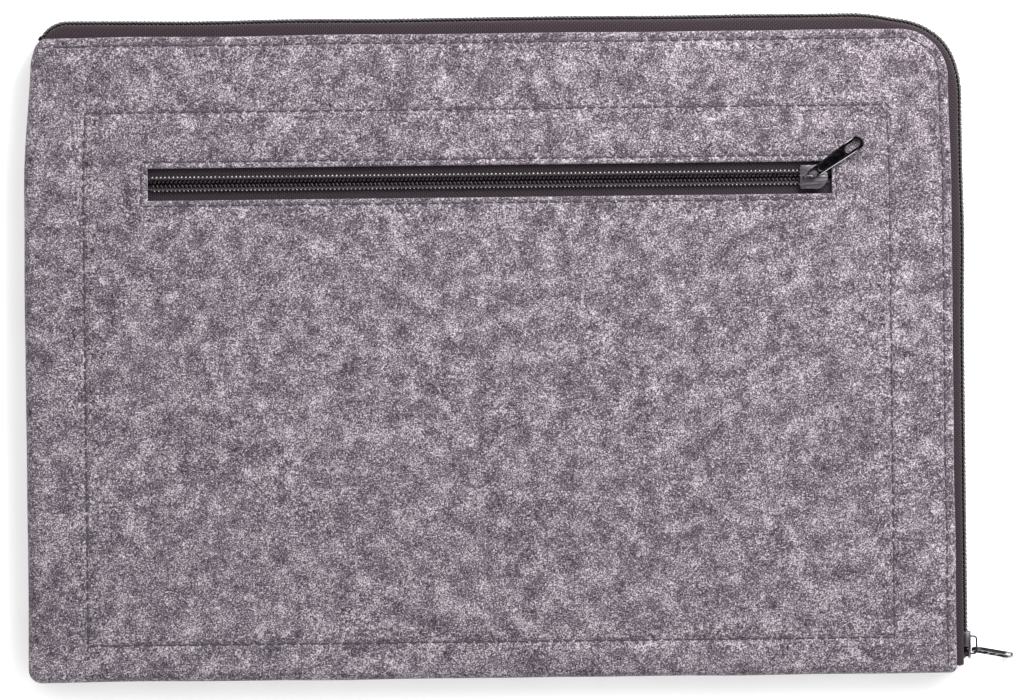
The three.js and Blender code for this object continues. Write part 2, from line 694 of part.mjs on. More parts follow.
/** The pocket slider's tab, lying on the felt and turned up to the right. */
function pocketTab() {
  const tab = piece("pocket_pull_tab", pullTab(POCKET_TAB), COLOURS.metal, 0.3, 0.8);
  tab.rotation.z = THREE.MathUtils.degToRad(POCKET_TAB_TURN_DEG);
  const barX = POCKET_SLIDER_X + POCKET_BAIL.bar;
  tab.position.set(barX, SLOT_CENTRE_Y, POCKET_TAPE_TOP_Z + BAR_HEIGHT);
  return tab;
}

// ---------------------------------------------------------------------------------------------
// Threads
// ---------------------------------------------------------------------------------------------

/** The sewing threads, each in its groove in the felt. */
function threads() {
  const frontHigh = SLEEVE_THICKNESS - THREAD_RECESS;
  const frontLow = frontHigh - THREAD_DEPTH;
  const backHigh = THREAD_RECESS + THREAD_DEPTH;
  const seam = bandShape(zipSeamLine(), THREAD_WIDTH);
  const sideLine = closedEdgeLine(FELT_THICKNESS + THREAD_WIDTH / 2 + GAP);
  const side = bandShape(sideLine, THREAD_WIDTH);
  const solids = {
    front_zip_seam_thread: slab(seam, frontLow, frontHigh),
    back_zip_seam_thread: slab(seam, THREAD_RECESS, backHigh),
    pocket_bag_thread: slab(bagRing(THREAD_WIDTH), frontLow, frontHigh),
    pocket_slot_thread: slab(slotRing(THREAD_WIDTH), frontLow, frontHigh),
    side_seam_thread: slab(side, MID_Z - THREAD_WIDTH / 2, MID_Z + THREAD_WIDTH / 2),
  };
  return Object.entries(solids).map(([name, solid]) => piece(name, solid, COLOURS.thread, 0.8));
}

// ---------------------------------------------------------------------------------------------
// Assembly
// ---------------------------------------------------------------------------------------------

const group = new THREE.Group();
group.add(
  piece("front_panel", frontPanel(), COLOURS.felt, 0.95),
  piece("back_panel", backPanel(), COLOURS.felt, 0.95),
  piece("pocket_bag", pocketBag(), COLOURS.bag, 0.9),
  ...mainChain(),
  mainSlider(),
  mainTab(),
  ...pocketChain(),
  pocketSlider(),
  pocketTab(),
  ...threads(),
);

export default group;
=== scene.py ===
"""A grey felt laptop sleeve with an L-shaped edge zip and a zipped front pocket.

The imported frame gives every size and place. Each class below makes one sub-assembly round it, in
metres and in the frame's own axes: +X across the width, +Y up the height, +Z up through the front.
"""

import json
import logging
import math
from dataclasses import dataclass
from enum import Enum
from typing import Callable, Iterable, Sequence

import bmesh
import bpy
from mathutils import Matrix, Vector, noise


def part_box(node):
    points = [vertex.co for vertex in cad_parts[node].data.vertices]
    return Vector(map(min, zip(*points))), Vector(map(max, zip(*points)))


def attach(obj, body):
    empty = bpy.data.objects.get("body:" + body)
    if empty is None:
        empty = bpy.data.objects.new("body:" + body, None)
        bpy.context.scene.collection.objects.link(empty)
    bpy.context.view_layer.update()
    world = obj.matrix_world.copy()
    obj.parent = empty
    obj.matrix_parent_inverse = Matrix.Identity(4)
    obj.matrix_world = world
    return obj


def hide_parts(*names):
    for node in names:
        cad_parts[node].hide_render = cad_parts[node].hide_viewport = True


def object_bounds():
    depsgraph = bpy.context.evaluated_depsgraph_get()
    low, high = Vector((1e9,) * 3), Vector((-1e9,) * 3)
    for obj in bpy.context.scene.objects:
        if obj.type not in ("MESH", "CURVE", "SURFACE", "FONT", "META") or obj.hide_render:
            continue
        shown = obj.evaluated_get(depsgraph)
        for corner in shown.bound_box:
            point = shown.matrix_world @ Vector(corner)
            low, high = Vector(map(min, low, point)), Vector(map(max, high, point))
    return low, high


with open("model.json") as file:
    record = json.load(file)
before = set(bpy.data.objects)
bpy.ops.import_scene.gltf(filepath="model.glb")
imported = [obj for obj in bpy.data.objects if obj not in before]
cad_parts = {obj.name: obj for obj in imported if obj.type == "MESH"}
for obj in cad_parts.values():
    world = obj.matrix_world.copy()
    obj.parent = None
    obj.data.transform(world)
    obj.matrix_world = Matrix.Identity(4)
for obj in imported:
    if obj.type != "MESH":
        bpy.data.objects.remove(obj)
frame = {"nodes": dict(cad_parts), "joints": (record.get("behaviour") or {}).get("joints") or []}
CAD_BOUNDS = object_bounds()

LOG = logging.getLogger("sleeve")
MM = 0.001

# Sizes that several pieces share
FELT_THICKNESS = 3 * MM
INNER_GAP = 0.3 * MM
MAIN_COIL_RISE = 1.5 * MM
TAPE_THICKNESS = 0.55 * MM
COIL_PITCH = 1.56 * MM
COIL_WIRE_RADIUS = 0.31 * MM
CHAIN_HALF_SPLIT = 0.6 * MM
SEAM_INSET = 3.2 * MM
STITCH_PITCH = 4.1 * MM
# A wave texture of scale 1 has its bands 2 pi / 20 apart
BAND_PERIODS = 20

UP = Vector((0, 0, 1))

Place = Callable[[float, float], Vector]


# ---------------------------------------------------------------------------------------------
# Small helpers
# ---------------------------------------------------------------------------------------------

class Side(Enum):
    """The two halves of the sleeve, or of a zip lying in the sleeve."""

    FRONT = 1
    BACK = -1

    def node(self, stem: str) -> str:
        """Returns the name of this side's node of a pair."""
        return f"{stem}_{self.name.lower()}"


def linear(hex_colour: str) -> tuple[float, float, float, float]:
    """Turns an sRGB hex colour into linear RGBA.

    Args:
        hex_colour: Six hex digits with a leading #.

    Returns:
        Linear red, green, blue and an alpha of one.
    """
    parts = [int(hex_colour[i:i + 2], 16) / 255 for i in (1, 3, 5)]
    low = [c / 12.92 if c <= 0.04045 else ((c + 0.055) / 1.055) ** 2.4 for c in parts]
    return (low[0], low[1], low[2], 1.0)


def clamp(value: float, low: float = 0.0, high: float = 1.0) -> float:
    """Returns value held between low and high."""
    return max(low, min(high, value))


def smoothstep(low: float, high: float, value: float) -> float:
    """Returns 0 before low, 1 after high and an even S-curve between them."""
    t = clamp((value - low) / (high - low))
    return t * t * (3 - 2 * t)


def bump(value: float, width: float) -> float:
    """Returns a bell curve's height, 1 at zero, for a standard width."""
    return math.exp(-0.5 * (value / width) ** 2)


def finish_mesh(bm: bmesh.types.BMesh, name: str, smooth_deg: float = 40) -> bpy.types.Object:
    """Makes a scene object from a bmesh and frees the bmesh.

    Args:
        bm: The finished shape, in place.
        name: The piece's name.
        smooth_deg: Edges flatter than this are shaded smooth.

    Returns:
        The new object, at the origin.
    """
    limit = math.radians(smooth_deg)
    for face in bm.faces:
        face.smooth = True
    for edge in bm.edges:
        edge.smooth = edge.calc_face_angle(0.0) < limit
    mesh = bpy.data.meshes.new(name)
    bm.to_mesh(mesh)
    bm.free()
    piece = bpy.data.objects.new(name, mesh)
    bpy.context.scene.collection.objects.link(piece)
    return piece


def install(piece: bpy.types.Object, material: bpy.types.Material, body: str,
            replaced: Sequence[str] = ()) -> bpy.types.Object:
    """Dresses a piece and ties it to the frame.

    Args:
        piece: The finished piece.
        material: Its material.
        body: The body that it rides on.
        replaced: The frame's nodes that it stands for.

    Returns:
        The same piece.
    """
    piece.data.materials.clear()
    piece.data.materials.append(material)
    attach(piece, body)
    if replaced:
        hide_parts(*replaced)
    LOG.info("%s: %d faces on %s", piece.name, len(piece.data.polygons), body)
    return piece


def mapped_grid(columns: int, rows: int, place: Place, size: tuple[float, float]) -> bmesh.types.BMesh:
    """Bends a grid to a surface and gives it a UV map in metres along that surface.

    Args:
        columns: Faces along the first direction.
        rows: Faces along the second.
        place: Gives the point for two shares from 0 to 1.
        size: The surface's real size each way.

    Returns:
        The bent grid.
    """
    bm = bmesh.new()
    bmesh.ops.create_grid(bm, x_segments=columns, y_segments=rows, size=1)
    uv = bm.loops.layers.uv.new("surface")
    for face in bm.faces:
        for loop in face.loops:
            x, y, _ = loop.vert.co
            loop[uv].uv = ((x + 1) / 2 * size[0], (y + 1) / 2 * size[1])
    for vert in bm.verts:
        vert.co = place((vert.co.x + 1) / 2, (vert.co.y + 1) / 2)
    return bm


def thicken(bm: bmesh.types.BMesh, outside: Vector | None, thickness: float) -> None:
    """Gives a sheet its wall, growing away from the side that faces outside.

    Args:
        bm: An open sheet.
        outside: A direction that the outer side faces, at the first face, or None to keep it.
        thickness: The wall.
    """
    bm.normal_update()
    bm.faces.ensure_lookup_table()
    if outside is not None and bm.faces[0].normal.dot(outside) < 0:
        bmesh.ops.reverse_faces(bm, faces=bm.faces[:])
        bm.normal_update()
    bmesh.ops.solidify(bm, geom=bm.faces[:], thickness=thickness)
    bmesh.ops.recalc_face_normals(bm, faces=bm.faces[:])


def repeat(unit: bpy.types.Mesh, frames: Iterable[Matrix]) -> bmesh.types.BMesh:
    """Lays copies of a small mesh at many places.

    Args:
        unit: The mesh to copy.
        frames: One placing matrix for each copy.

    Returns:
        All the copies in one bmesh.
    """
    bm = bmesh.new()
    for matrix in frames:
        before = len(bm.verts)
        bm.from_mesh(unit)
        bm.verts.ensure_lookup_table()
        bmesh.ops.transform(bm, matrix=matrix, verts=bm.verts[before:])
    return bm


def tube_along(points: Sequence[Vector], radius: float, name: str, sides: int = 1) -> bpy.types.Object:
    """Makes a round wire through points, as a mesh.

    Args:
        points: The wire's centre line.
        radius: Its radius.
        name: The piece's name.
        sides: The curve's bevel resolution.

    Returns:
        The wire as a mesh object.
    """
    curve = bpy.data.curves.new(name + "_line", "CURVE")
    curve.dimensions = "3D"
    curve.bevel_depth = radius
    curve.bevel_resolution = sides
    curve.use_fill_caps = True
    curve.twist_mode = "MINIMUM"
    spline = curve.splines.new("POLY")
    spline.points.add(len(points) - 1)
    for slot, point in zip(spline.points, points):
        slot.co = (*point, 1.0)
    holder = bpy.data.objects.new(name + "_line", curve)
    bpy.context.scene.collection.objects.link(holder)
    graph = bpy.context.evaluated_depsgraph_get()
    mesh = bpy.data.meshes.new_from_object(holder.evaluated_get(graph))
    bpy.data.objects.remove(holder)
    bpy.data.curves.remove(curve)
    mesh.name = name
    for polygon in mesh.polygons:
        polygon.use_smooth = True
    piece = bpy.data.objects.new(name, mesh)
    bpy.context.scene.collection.objects.link(piece)
    return piece


def arc(centre: Vector, radius: float, start_deg: float, end_deg: float,
        steps: int = 30) -> list[Vector]:
    """Returns points of an arc in the XY plane, both ends among them."""
    angles = [math.radians(start_deg + (end_deg - start_deg) * i / steps) for i in range(steps + 1)]
    return [centre + Vector((math.cos(a), math.sin(a), 0)) * radius for a in angles]


class Line:
    """A line through points that can be walked by length."""

    def __init__(self, points: Sequence[Vector]) -> None:
        """Measures the line.

        Args:
            points: The points it goes through.
        """
        self.points = list(points)
        self.stops = [0.0]
        for a, b in zip(self.points, self.points[1:]):
            self.stops.append(self.stops[-1] + (b - a).length)

    @property
    def length(self) -> float:
        """The line's whole length."""
        return self.stops[-1]

    def at(self, distance: float) -> Vector:
        """Returns the point at a distance from the start."""
        distance = clamp(distance, 0, self.length)
        low, high = 0, len(self.stops) - 1
        while high - low > 1:
            middle = (low + high) // 2
            if self.stops[middle] <= distance:
                low = middle
            else:
                high = middle
        span = self.stops[high] - self.stops[low]
        return self.points[low].lerp(self.points[high], (distance - self.stops[low]) / span)

    def tangent(self, distance: float, reach: float = 1 * MM) -> Vector:
        """Returns the direction at a distance, evened out over a short reach."""
        ahead = self.at(min(distance + reach, self.length))
        return (ahead - self.at(max(distance - reach, 0))).normalized()


# ---------------------------------------------------------------------------------------------
# Finishes
# ---------------------------------------------------------------------------------------------

def add_node(tree: bpy.types.NodeTree, kind: str, settings: dict | None = None,
             links: dict | None = None) -> bpy.types.Node:
    """Adds a node, sets it up and links its inputs.

    Args:
        tree: The material's node tree.
        kind: The node's type name.
        settings: Properties by name, or input values by socket name or number.
        links: Output sockets by input name or number.

    Returns:
        The new node.
    """
    node = tree.nodes.new(kind)
    for key, value in (settings or {}).items():
        if isinstance(key, str) and hasattr(node, key):
            setattr(node, key, value)
        else:
            node.inputs[key].default_value = value
    for key, socket in (links or {}).items():
        tree.links.new(socket, node.inputs[key])
    return node


def blank_material(name: str) -> tuple[bpy.types.Material, bpy.types.NodeTree, bpy.types.Node]:
    """Returns a new material, its tree and its Principled shader."""
    material = bpy.data.materials.new(name)
    material.use_nodes = True
    tree = material.node_tree
    return material, tree, tree.nodes["Principled BSDF"]


def ramp(tree: bpy.types.NodeTree, factor: bpy.types.NodeSocket,
         stops: Sequence[tuple[float, tuple]]) -> bpy.types.NodeSocket:
    """Adds a colour ramp and returns its colour output.

    Args:
        tree: The material's node tree.
        factor: What drives the ramp.
        stops: Places from 0 to 1 with their linear colours.

    Returns:
        The ramp's colour socket.
    """
    node = add_node(tree, "ShaderNodeValToRGB", links={"Fac": factor})
    elements = node.color_ramp.elements
    while len(elements) < len(stops):
        elements.new(0.5)
    for element, (place, colour) in zip(elements, stops):
        element.position = place
        element.color = colour
    return node.outputs["Color"]


def noise_texture(tree: bpy.types.NodeTree, place: bpy.types.NodeSocket, size: float,
                  detail: float = 0.0, **more: float) -> bpy.types.Node:
    """Adds a noise texture with features about `size` across, and any more input values."""
    return add_node(tree, "ShaderNodeTexNoise", {"Scale": 1 / size, "Detail": detail, **more},
                    {"Vector": place})


def band_texture(tree: bpy.types.NodeTree, place: bpy.types.NodeSocket, direction: str,
                 pitch: float, **more: float) -> bpy.types.NodeSocket:
    """Adds bands `pitch` apart, with any more input values, and returns their value socket."""
    settings = {"wave_type": "BANDS", "bands_direction": direction,
                "Scale": 2 * math.pi / BAND_PERIODS / pitch, **more}
    return add_node(tree, "ShaderNodeTexWave", settings, {"Vector": place}).outputs["Fac"]


def math_node(tree: bpy.types.NodeTree, operation: str, *operands: object) -> bpy.types.NodeSocket:
    """Adds a math node whose operands are sockets or numbers, and returns its output."""
    numbers = {i: value for i, value in enumerate(operands) if isinstance(value, float)}
    sockets = {i: value for i, value in enumerate(operands) if not isinstance(value, float)}
    node = add_node(tree, "ShaderNodeMath", {"operation": operation, **numbers}, sockets)
    return node.outputs[0]


def map_range(tree: bpy.types.NodeTree, value: bpy.types.NodeSocket,
              **limits: float) -> bpy.types.NodeSocket:
    """Maps a value between limits: from_min, from_max, to_min and to_max, 0 to 1 if left out."""
    settings = {name.replace("_", " ").title(): limit for name, limit in limits.items()}
    return add_node(tree, "ShaderNodeMapRange", settings, {"Value": value}).outputs["Result"]


def painted_highlight_colour(tree: bpy.types.NodeTree, colour: bpy.types.NodeSocket,
                  share: bpy.types.NodeSocket, rubbed: str) -> bpy.types.NodeSocket:
    """Mixes a painted highlight over a colour by a share, and returns the mix."""
    node = add_node(tree, "ShaderNodeMix", {"data_type": "RGBA", "B": linear(rubbed)},
                    {"Factor": share, "A": colour})
    return node.outputs["Result"]


def add_relief(tree: bpy.types.NodeTree, shader: bpy.types.Node, height: bpy.types.NodeSocket,
               strength: float, depth: float) -> None:
    """Lets a height socket raise and sink a shader's surface."""
    node = add_node(tree, "ShaderNodeBump", {"Strength": strength, "Distance": depth},
                    {"Height": height})
    tree.links.new(node.outputs["Normal"], shader.inputs["Normal"])


def set_inputs(shader: bpy.types.Node, **values: float | tuple) -> None:
    """Sets a shader's even values straight on its sockets, named in lower case with _."""
    sockets = {socket.name.lower().replace(" ", "_"): socket for socket in shader.inputs}
    for name, value in values.items():
        sockets[name].default_value = value


@dataclass(frozen=True)
class NeedleFelt:
    """Heathered polyester needle felt: light and dark fibres punched into one mat."""

    dark: str = "#1e171e"
    middle: str = "#534b53"
    light: str = "#ada5ab"
    fibre_width: float = 0.25 * MM
    fibre_length: float = 1.3 * MM
    fleck: float = 0.54 * MM
    clump: float = 6.5 * MM
    clump_share: float = 1.15
    spread: float = 0.5
    relief: float = 0.14 * MM
    curl_size: float = 1.6 * MM
    curl_reach: float = 2.2 * MM
    # The way each layer of fibres lies, in degrees, and how far its pattern is moved
    layers: tuple = ((8, 0.0), (98, 0.013), (52, 0.029), (143, 0.047))

    def fibres(self, tree: bpy.types.NodeTree, coords: bpy.types.NodeSocket, angle_deg: float,
               shift: float) -> bpy.types.NodeSocket:
        """Adds one layer of fibres that mostly lie one way.

        Args:
            tree: The material's node tree.
            coords: Bent object coordinates.
            angle_deg: The way they lie.
            shift: Moves the pattern, so that layers differ.

        Returns:
            The layer's value socket.
        """
        turned = add_node(tree, "ShaderNodeMapping", {
            "vector_type": "TEXTURE",
            "Location": (shift, shift * 0.7, 0),
            "Rotation": (0, 0, math.radians(angle_deg)),
            "Scale": (self.fibre_length, self.fibre_width, self.fibre_length),
        }, {"Vector": coords})
        return noise_texture(tree, turned.outputs["Vector"], 1.0).outputs["Fac"]

    def build(self) -> bpy.types.Material:
        """Builds the felt. Fibres are drawn a quarter of a millimetre wide, so that they show."""
        material, tree, shader = blank_material("needle_felt")
        place = add_node(tree, "ShaderNodeTexCoord").outputs["Object"]
        # Curl: the fibres bend every couple of millimetres
        curl = noise_texture(tree, place, self.curl_size, 1.0)
        centred = add_node(tree, "ShaderNodeVectorMath",
                           {"operation": "SUBTRACT", 1: (0.5, 0.5, 0.5)},
                           {0: curl.outputs["Color"]})
        bent = add_node(tree, "ShaderNodeVectorMath",
                        {"operation": "MULTIPLY_ADD", 1: (self.curl_reach,) * 3},
                        {0: centred.outputs["Vector"], 2: place})
        layers = [self.fibres(tree, bent.outputs["Vector"], *layer) for layer in self.layers]
        # The topmost light fibres and the deepest dark gaps both show
        light = math_node(tree, "MAXIMUM", layers[0], layers[1])
        deep = math_node(tree, "MINIMUM", layers[2], layers[3])
        mat = math_node(tree, "ADD", light, deep)
        flecks = noise_texture(tree, place, self.fleck).outputs["Fac"]
        heather = math_node(tree, "ADD", mat, flecks)
        clouds = noise_texture(tree, place, self.clump, 4.0, Roughness=0.72).outputs["Fac"]
        mixed = math_node(tree, "MULTIPLY_ADD", clouds, self.clump_share, heather)
        # Three layers of noise, each about a half on average, and the clumps' own half
        middle = 1.5 + self.clump_share / 2
        share = map_range(tree, mixed, from_min=middle - self.spread, from_max=middle + self.spread)
        colour = ramp(tree, share, (
            (0.0, linear(self.dark)), (0.5, linear(self.middle)), (1.0, linear(self.light)),
        ))
        tree.links.new(colour, shader.inputs["Base Color"])
        add_relief(tree, shader, mat, 0.8, self.relief)
        # Loose fibre ends catch light at the rims
        set_inputs(shader, roughness=0.95, specular_ior_level=0.1, sheen_weight=0.12,
                   sheen_roughness=0.6, sheen_tint=linear("#e6dde6"))
        return material


@dataclass(frozen=True)
class WovenTape:
    """Woven polyester zip tape, dyed black: fine ribs that take a dull purple light."""

    name: str = "woven_polyester_tape"
    valley: str = "#0e090c"
    crown: str = "#3a2a33"
    rib: float = 0.74 * MM
    fuzz: float = 0.5 * MM
    relief: float = 0.12 * MM

    def build(self) -> bpy.types.Material:
        """Builds the tape. Its warp and weft are drawn twice as coarse as they are, so they show."""
        material, tree, shader = blank_material(self.name)
        place = add_node(tree, "ShaderNodeTexCoord").outputs["UV"]
        warp = band_texture(tree, place, "DIAGONAL", self.rib, Distortion=1.2, Detail=1.0)
        weft = band_texture(tree, place, "X", self.rib, Distortion=0.9, Detail=1.0)
        weave = math_node(tree, "MULTIPLY", warp, weft)
        fuzz = noise_texture(tree, place, self.fuzz, 2.0).outputs["Fac"]
        height = math_node(tree, "MULTIPLY_ADD", fuzz, 0.8, weave)
        share = map_range(tree, height, from_min=0.25, from_max=1.3)
        colour = ramp(tree, share, ((0.0, linear(self.valley)), (1.0, linear(self.crown))))
        tree.links.new(colour, shader.inputs["Base Color"])
        add_relief(tree, shader, height, 0.7, self.relief)
        set_inputs(shader, roughness=0.8, specular_ior_level=0.3, sheen_weight=0.05)
        return material


@dataclass(frozen=True)
class Thread:
    """Twisted polyester sewing thread or cord: a soft gleam broken by its ply."""

    name: str
    shade: str
    bright: str
    ply: float
    relief: float = 0.06 * MM

    def build(self) -> bpy.types.Material:
        """Builds the thread. The ply is a fine diagonal ripple."""
        material, tree, shader = blank_material(self.name)
        place = add_node(tree, "ShaderNodeTexCoord").outputs["Object"]
        twist = band_texture(tree, place, "DIAGONAL", self.ply, Distortion=0.8)
        colour = ramp(tree, twist, ((0.0, linear(self.shade)), (1.0, linear(self.bright))))
        tree.links.new(colour, shader.inputs["Base Color"])
        add_relief(tree, shader, twist, 0.6, self.relief)
        set_inputs(shader, roughness=0.65, sheen_weight=0.2)
        return material


@dataclass(frozen=True)
class NylonMonofilament:
    """Extruded nylon wire, dyed black and set by heat: smooth, with a painted highlight on its bends."""

    base: str = "#10090d"
    mottled: str = "#21171d"
    # Painted highlight: the light colour laid on each turn's bends
    rubbed: str = "#b9adb4"
    mottle_size: float = 3 * MM

    def build(self) -> bpy.types.Material:
        """Builds the wire. Its highlight attribute is 1 on the bends, where a highlight is painted."""
        material, tree, shader = blank_material("nylon_monofilament")
        place = add_node(tree, "ShaderNodeTexCoord").outputs["Object"]
        mottle = noise_texture(tree, place, self.mottle_size, 3.0).outputs["Fac"]
        colour = ramp(tree, mottle, ((0.35, linear(self.base)), (0.7, linear(self.mottled))))
        # Painted highlight: the marked bends are lightened, broken up by the mottle
        bends = add_node(tree, "ShaderNodeAttribute", {"attribute_name": "rubbed"}).outputs["Fac"]
        highlit = map_range(tree, math_node(tree, "MULTIPLY", bends, mottle), from_max=0.6)
        tree.links.new(painted_highlight_colour(tree, colour, highlit, self.rubbed), shader.inputs["Base Color"])
        gloss = map_range(tree, mottle, to_min=0.16, to_max=0.32)
        tree.links.new(gloss, shader.inputs["Roughness"])
        set_inputs(shader, ior=1.53, specular_ior_level=0.3)
        return material


@dataclass(frozen=True)
class PlatedZinc:
    """Die-cast zinc with a thin plate on it: dark nickel on the tab, and on the slider plates a brighter
    colour that is a painted reflection of the overhead light.
    """

    name: str
    shade: str
    bright: str
    roughness: float
    grain: tuple[float, float, float] = (1.8 * MM, 1.8 * MM, 1.8 * MM)
    # Painted highlight: the near-white colour laid on marked rims
    rubbed: str = "#f4f0f3"
    dulling: float = 0.16
    relief: float = 0.05 * MM

    def build(self) -> bpy.types.Material:
        """Builds the metal. Ripple or streaks break up reflections; rims marked by the highlight
        attribute get a painted highlight.
        """
        material, tree, shader = blank_material(self.name)
        place = add_node(tree, "ShaderNodeTexCoord").outputs["Object"]
        streaks = add_node(tree, "ShaderNodeMapping",
                           {"vector_type": "TEXTURE", "Scale": self.grain}, {"Vector": place})
        # Grain in the plating, which on the slider plates also stands for streaks of painted reflection
        wear_and_sheen = noise_texture(tree, streaks.outputs["Vector"], 1.0, 4.0).outputs["Fac"]
        colour = ramp(tree, wear_and_sheen, ((0.3, linear(self.shade)), (0.75, linear(self.bright))))
        # Painted highlight: rims marked by the attribute are whitened
        rims = add_node(tree, "ShaderNodeAttribute", {"attribute_name": "rubbed"}).outputs["Fac"]
        tree.links.new(painted_highlight_colour(tree, colour, rims, self.rubbed), shader.inputs["Base Color"])
        gloss = map_range(tree, wear_and_sheen, to_min=self.roughness, to_max=self.roughness + self.dulling)
        tree.links.new(gloss, shader.inputs["Roughness"])
        add_relief(tree, shader, wear_and_sheen, 0.35, self.relief)
        set_inputs(shader, metallic=1.0)
        return material


@dataclass(frozen=True)
class Palette:
    """Every material of the sleeve."""

    felt: bpy.types.Material
    tape: bpy.types.Material
    pocket_tape: bpy.types.Material
    lining: bpy.types.Material
    coil: bpy.types.Material
    cord: bpy.types.Material
    thread: bpy.types.Material
    coil_thread: bpy.types.Material
    pocket_plate: bpy.types.Material
    edge_plate: bpy.types.Material
    bail: bpy.types.Material
    tab: bpy.types.Material

    @classmethod
    def build(cls) -> "Palette":
        """Builds them all."""
        return cls(
            felt=NeedleFelt().build(),
            tape=WovenTape().build(),
            pocket_tape=WovenTape("woven_pocket_tape", "#0e0a0d", "#352b33").build(),
            lining=WovenTape("woven_polyester_lining", "#1c181d", "#3f3941", 1.0 * MM).build(),
            coil=NylonMonofilament().build(),
            cord=Thread("twisted_polyester_cord", "#151215", "#2c272c", 0.8 * MM).build(),
            thread=Thread("polyester_sewing_thread", "#151016", "#2e2730", 0.5 * MM).build(),
            coil_thread=Thread("black_coil_thread", "#120f12", "#332d32", 0.5 * MM).build(),
            # The slider plates are the same nickel as the tab and bail, drawn lighter as a painted
            # reflection; their streaks are part grain, part painted reflection
            pocket_plate=PlatedZinc("satin_nickel_on_zinc", "#464147", "#7c767d", 0.34,
                                    (5 * MM, 0.6 * MM, 5 * MM)).build(),
            edge_plate=PlatedZinc("worn_nickel_on_zinc", "#2c2a2e", "#858087", 0.28,
                                  (0.4 * MM, 7 * MM, 7 * MM)).build(),
            bail=PlatedZinc("dark_nickel_strip", "#39373a", "#6b686d", 0.16).build(),
            tab=PlatedZinc("black_nickel_on_zinc", "#201e22", "#454247", 0.1).build(),
        )


# ---------------------------------------------------------------------------------------------
# Felt
# ---------------------------------------------------------------------------------------------

@dataclass(frozen=True)
class Sewn:
    """The frame's sewn rectangle, as low and high corners."""

    low: Vector
    high: Vector

    @classmethod
    def around(cls, node: str, thread_width: float = 0.5 * MM) -> "Sewn":
        """Reads a stitched rectangle from its thread's box, to the thread's middle."""
        low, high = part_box(node)
        inset = Vector((thread_width / 2, thread_width / 2, 0))
        return cls(low + inset, high - inset)

    def distance(self, x: float, y: float) -> float:
        """Returns how far a point lies from the rectangle's line."""
        outside_x = max(self.low.x - x, x - self.high.x)
        outside_y = max(self.low.y - y, y - self.high.y)
        if outside_x <= 0 and outside_y <= 0:
            return -max(outside_x, outside_y)
        return math.hypot(max(outside_x, 0), max(outside_y, 0))

    def line(self) -> Line:
        """Returns the rectangle as a closed line."""
        low, high = self.low, self.high
        corners = [(low.x, low.y), (high.x, low.y), (high.x, high.y), (low.x, high.y)]
        return Line([Vector((x, y, 0)) for x, y in corners + corners[:1]])


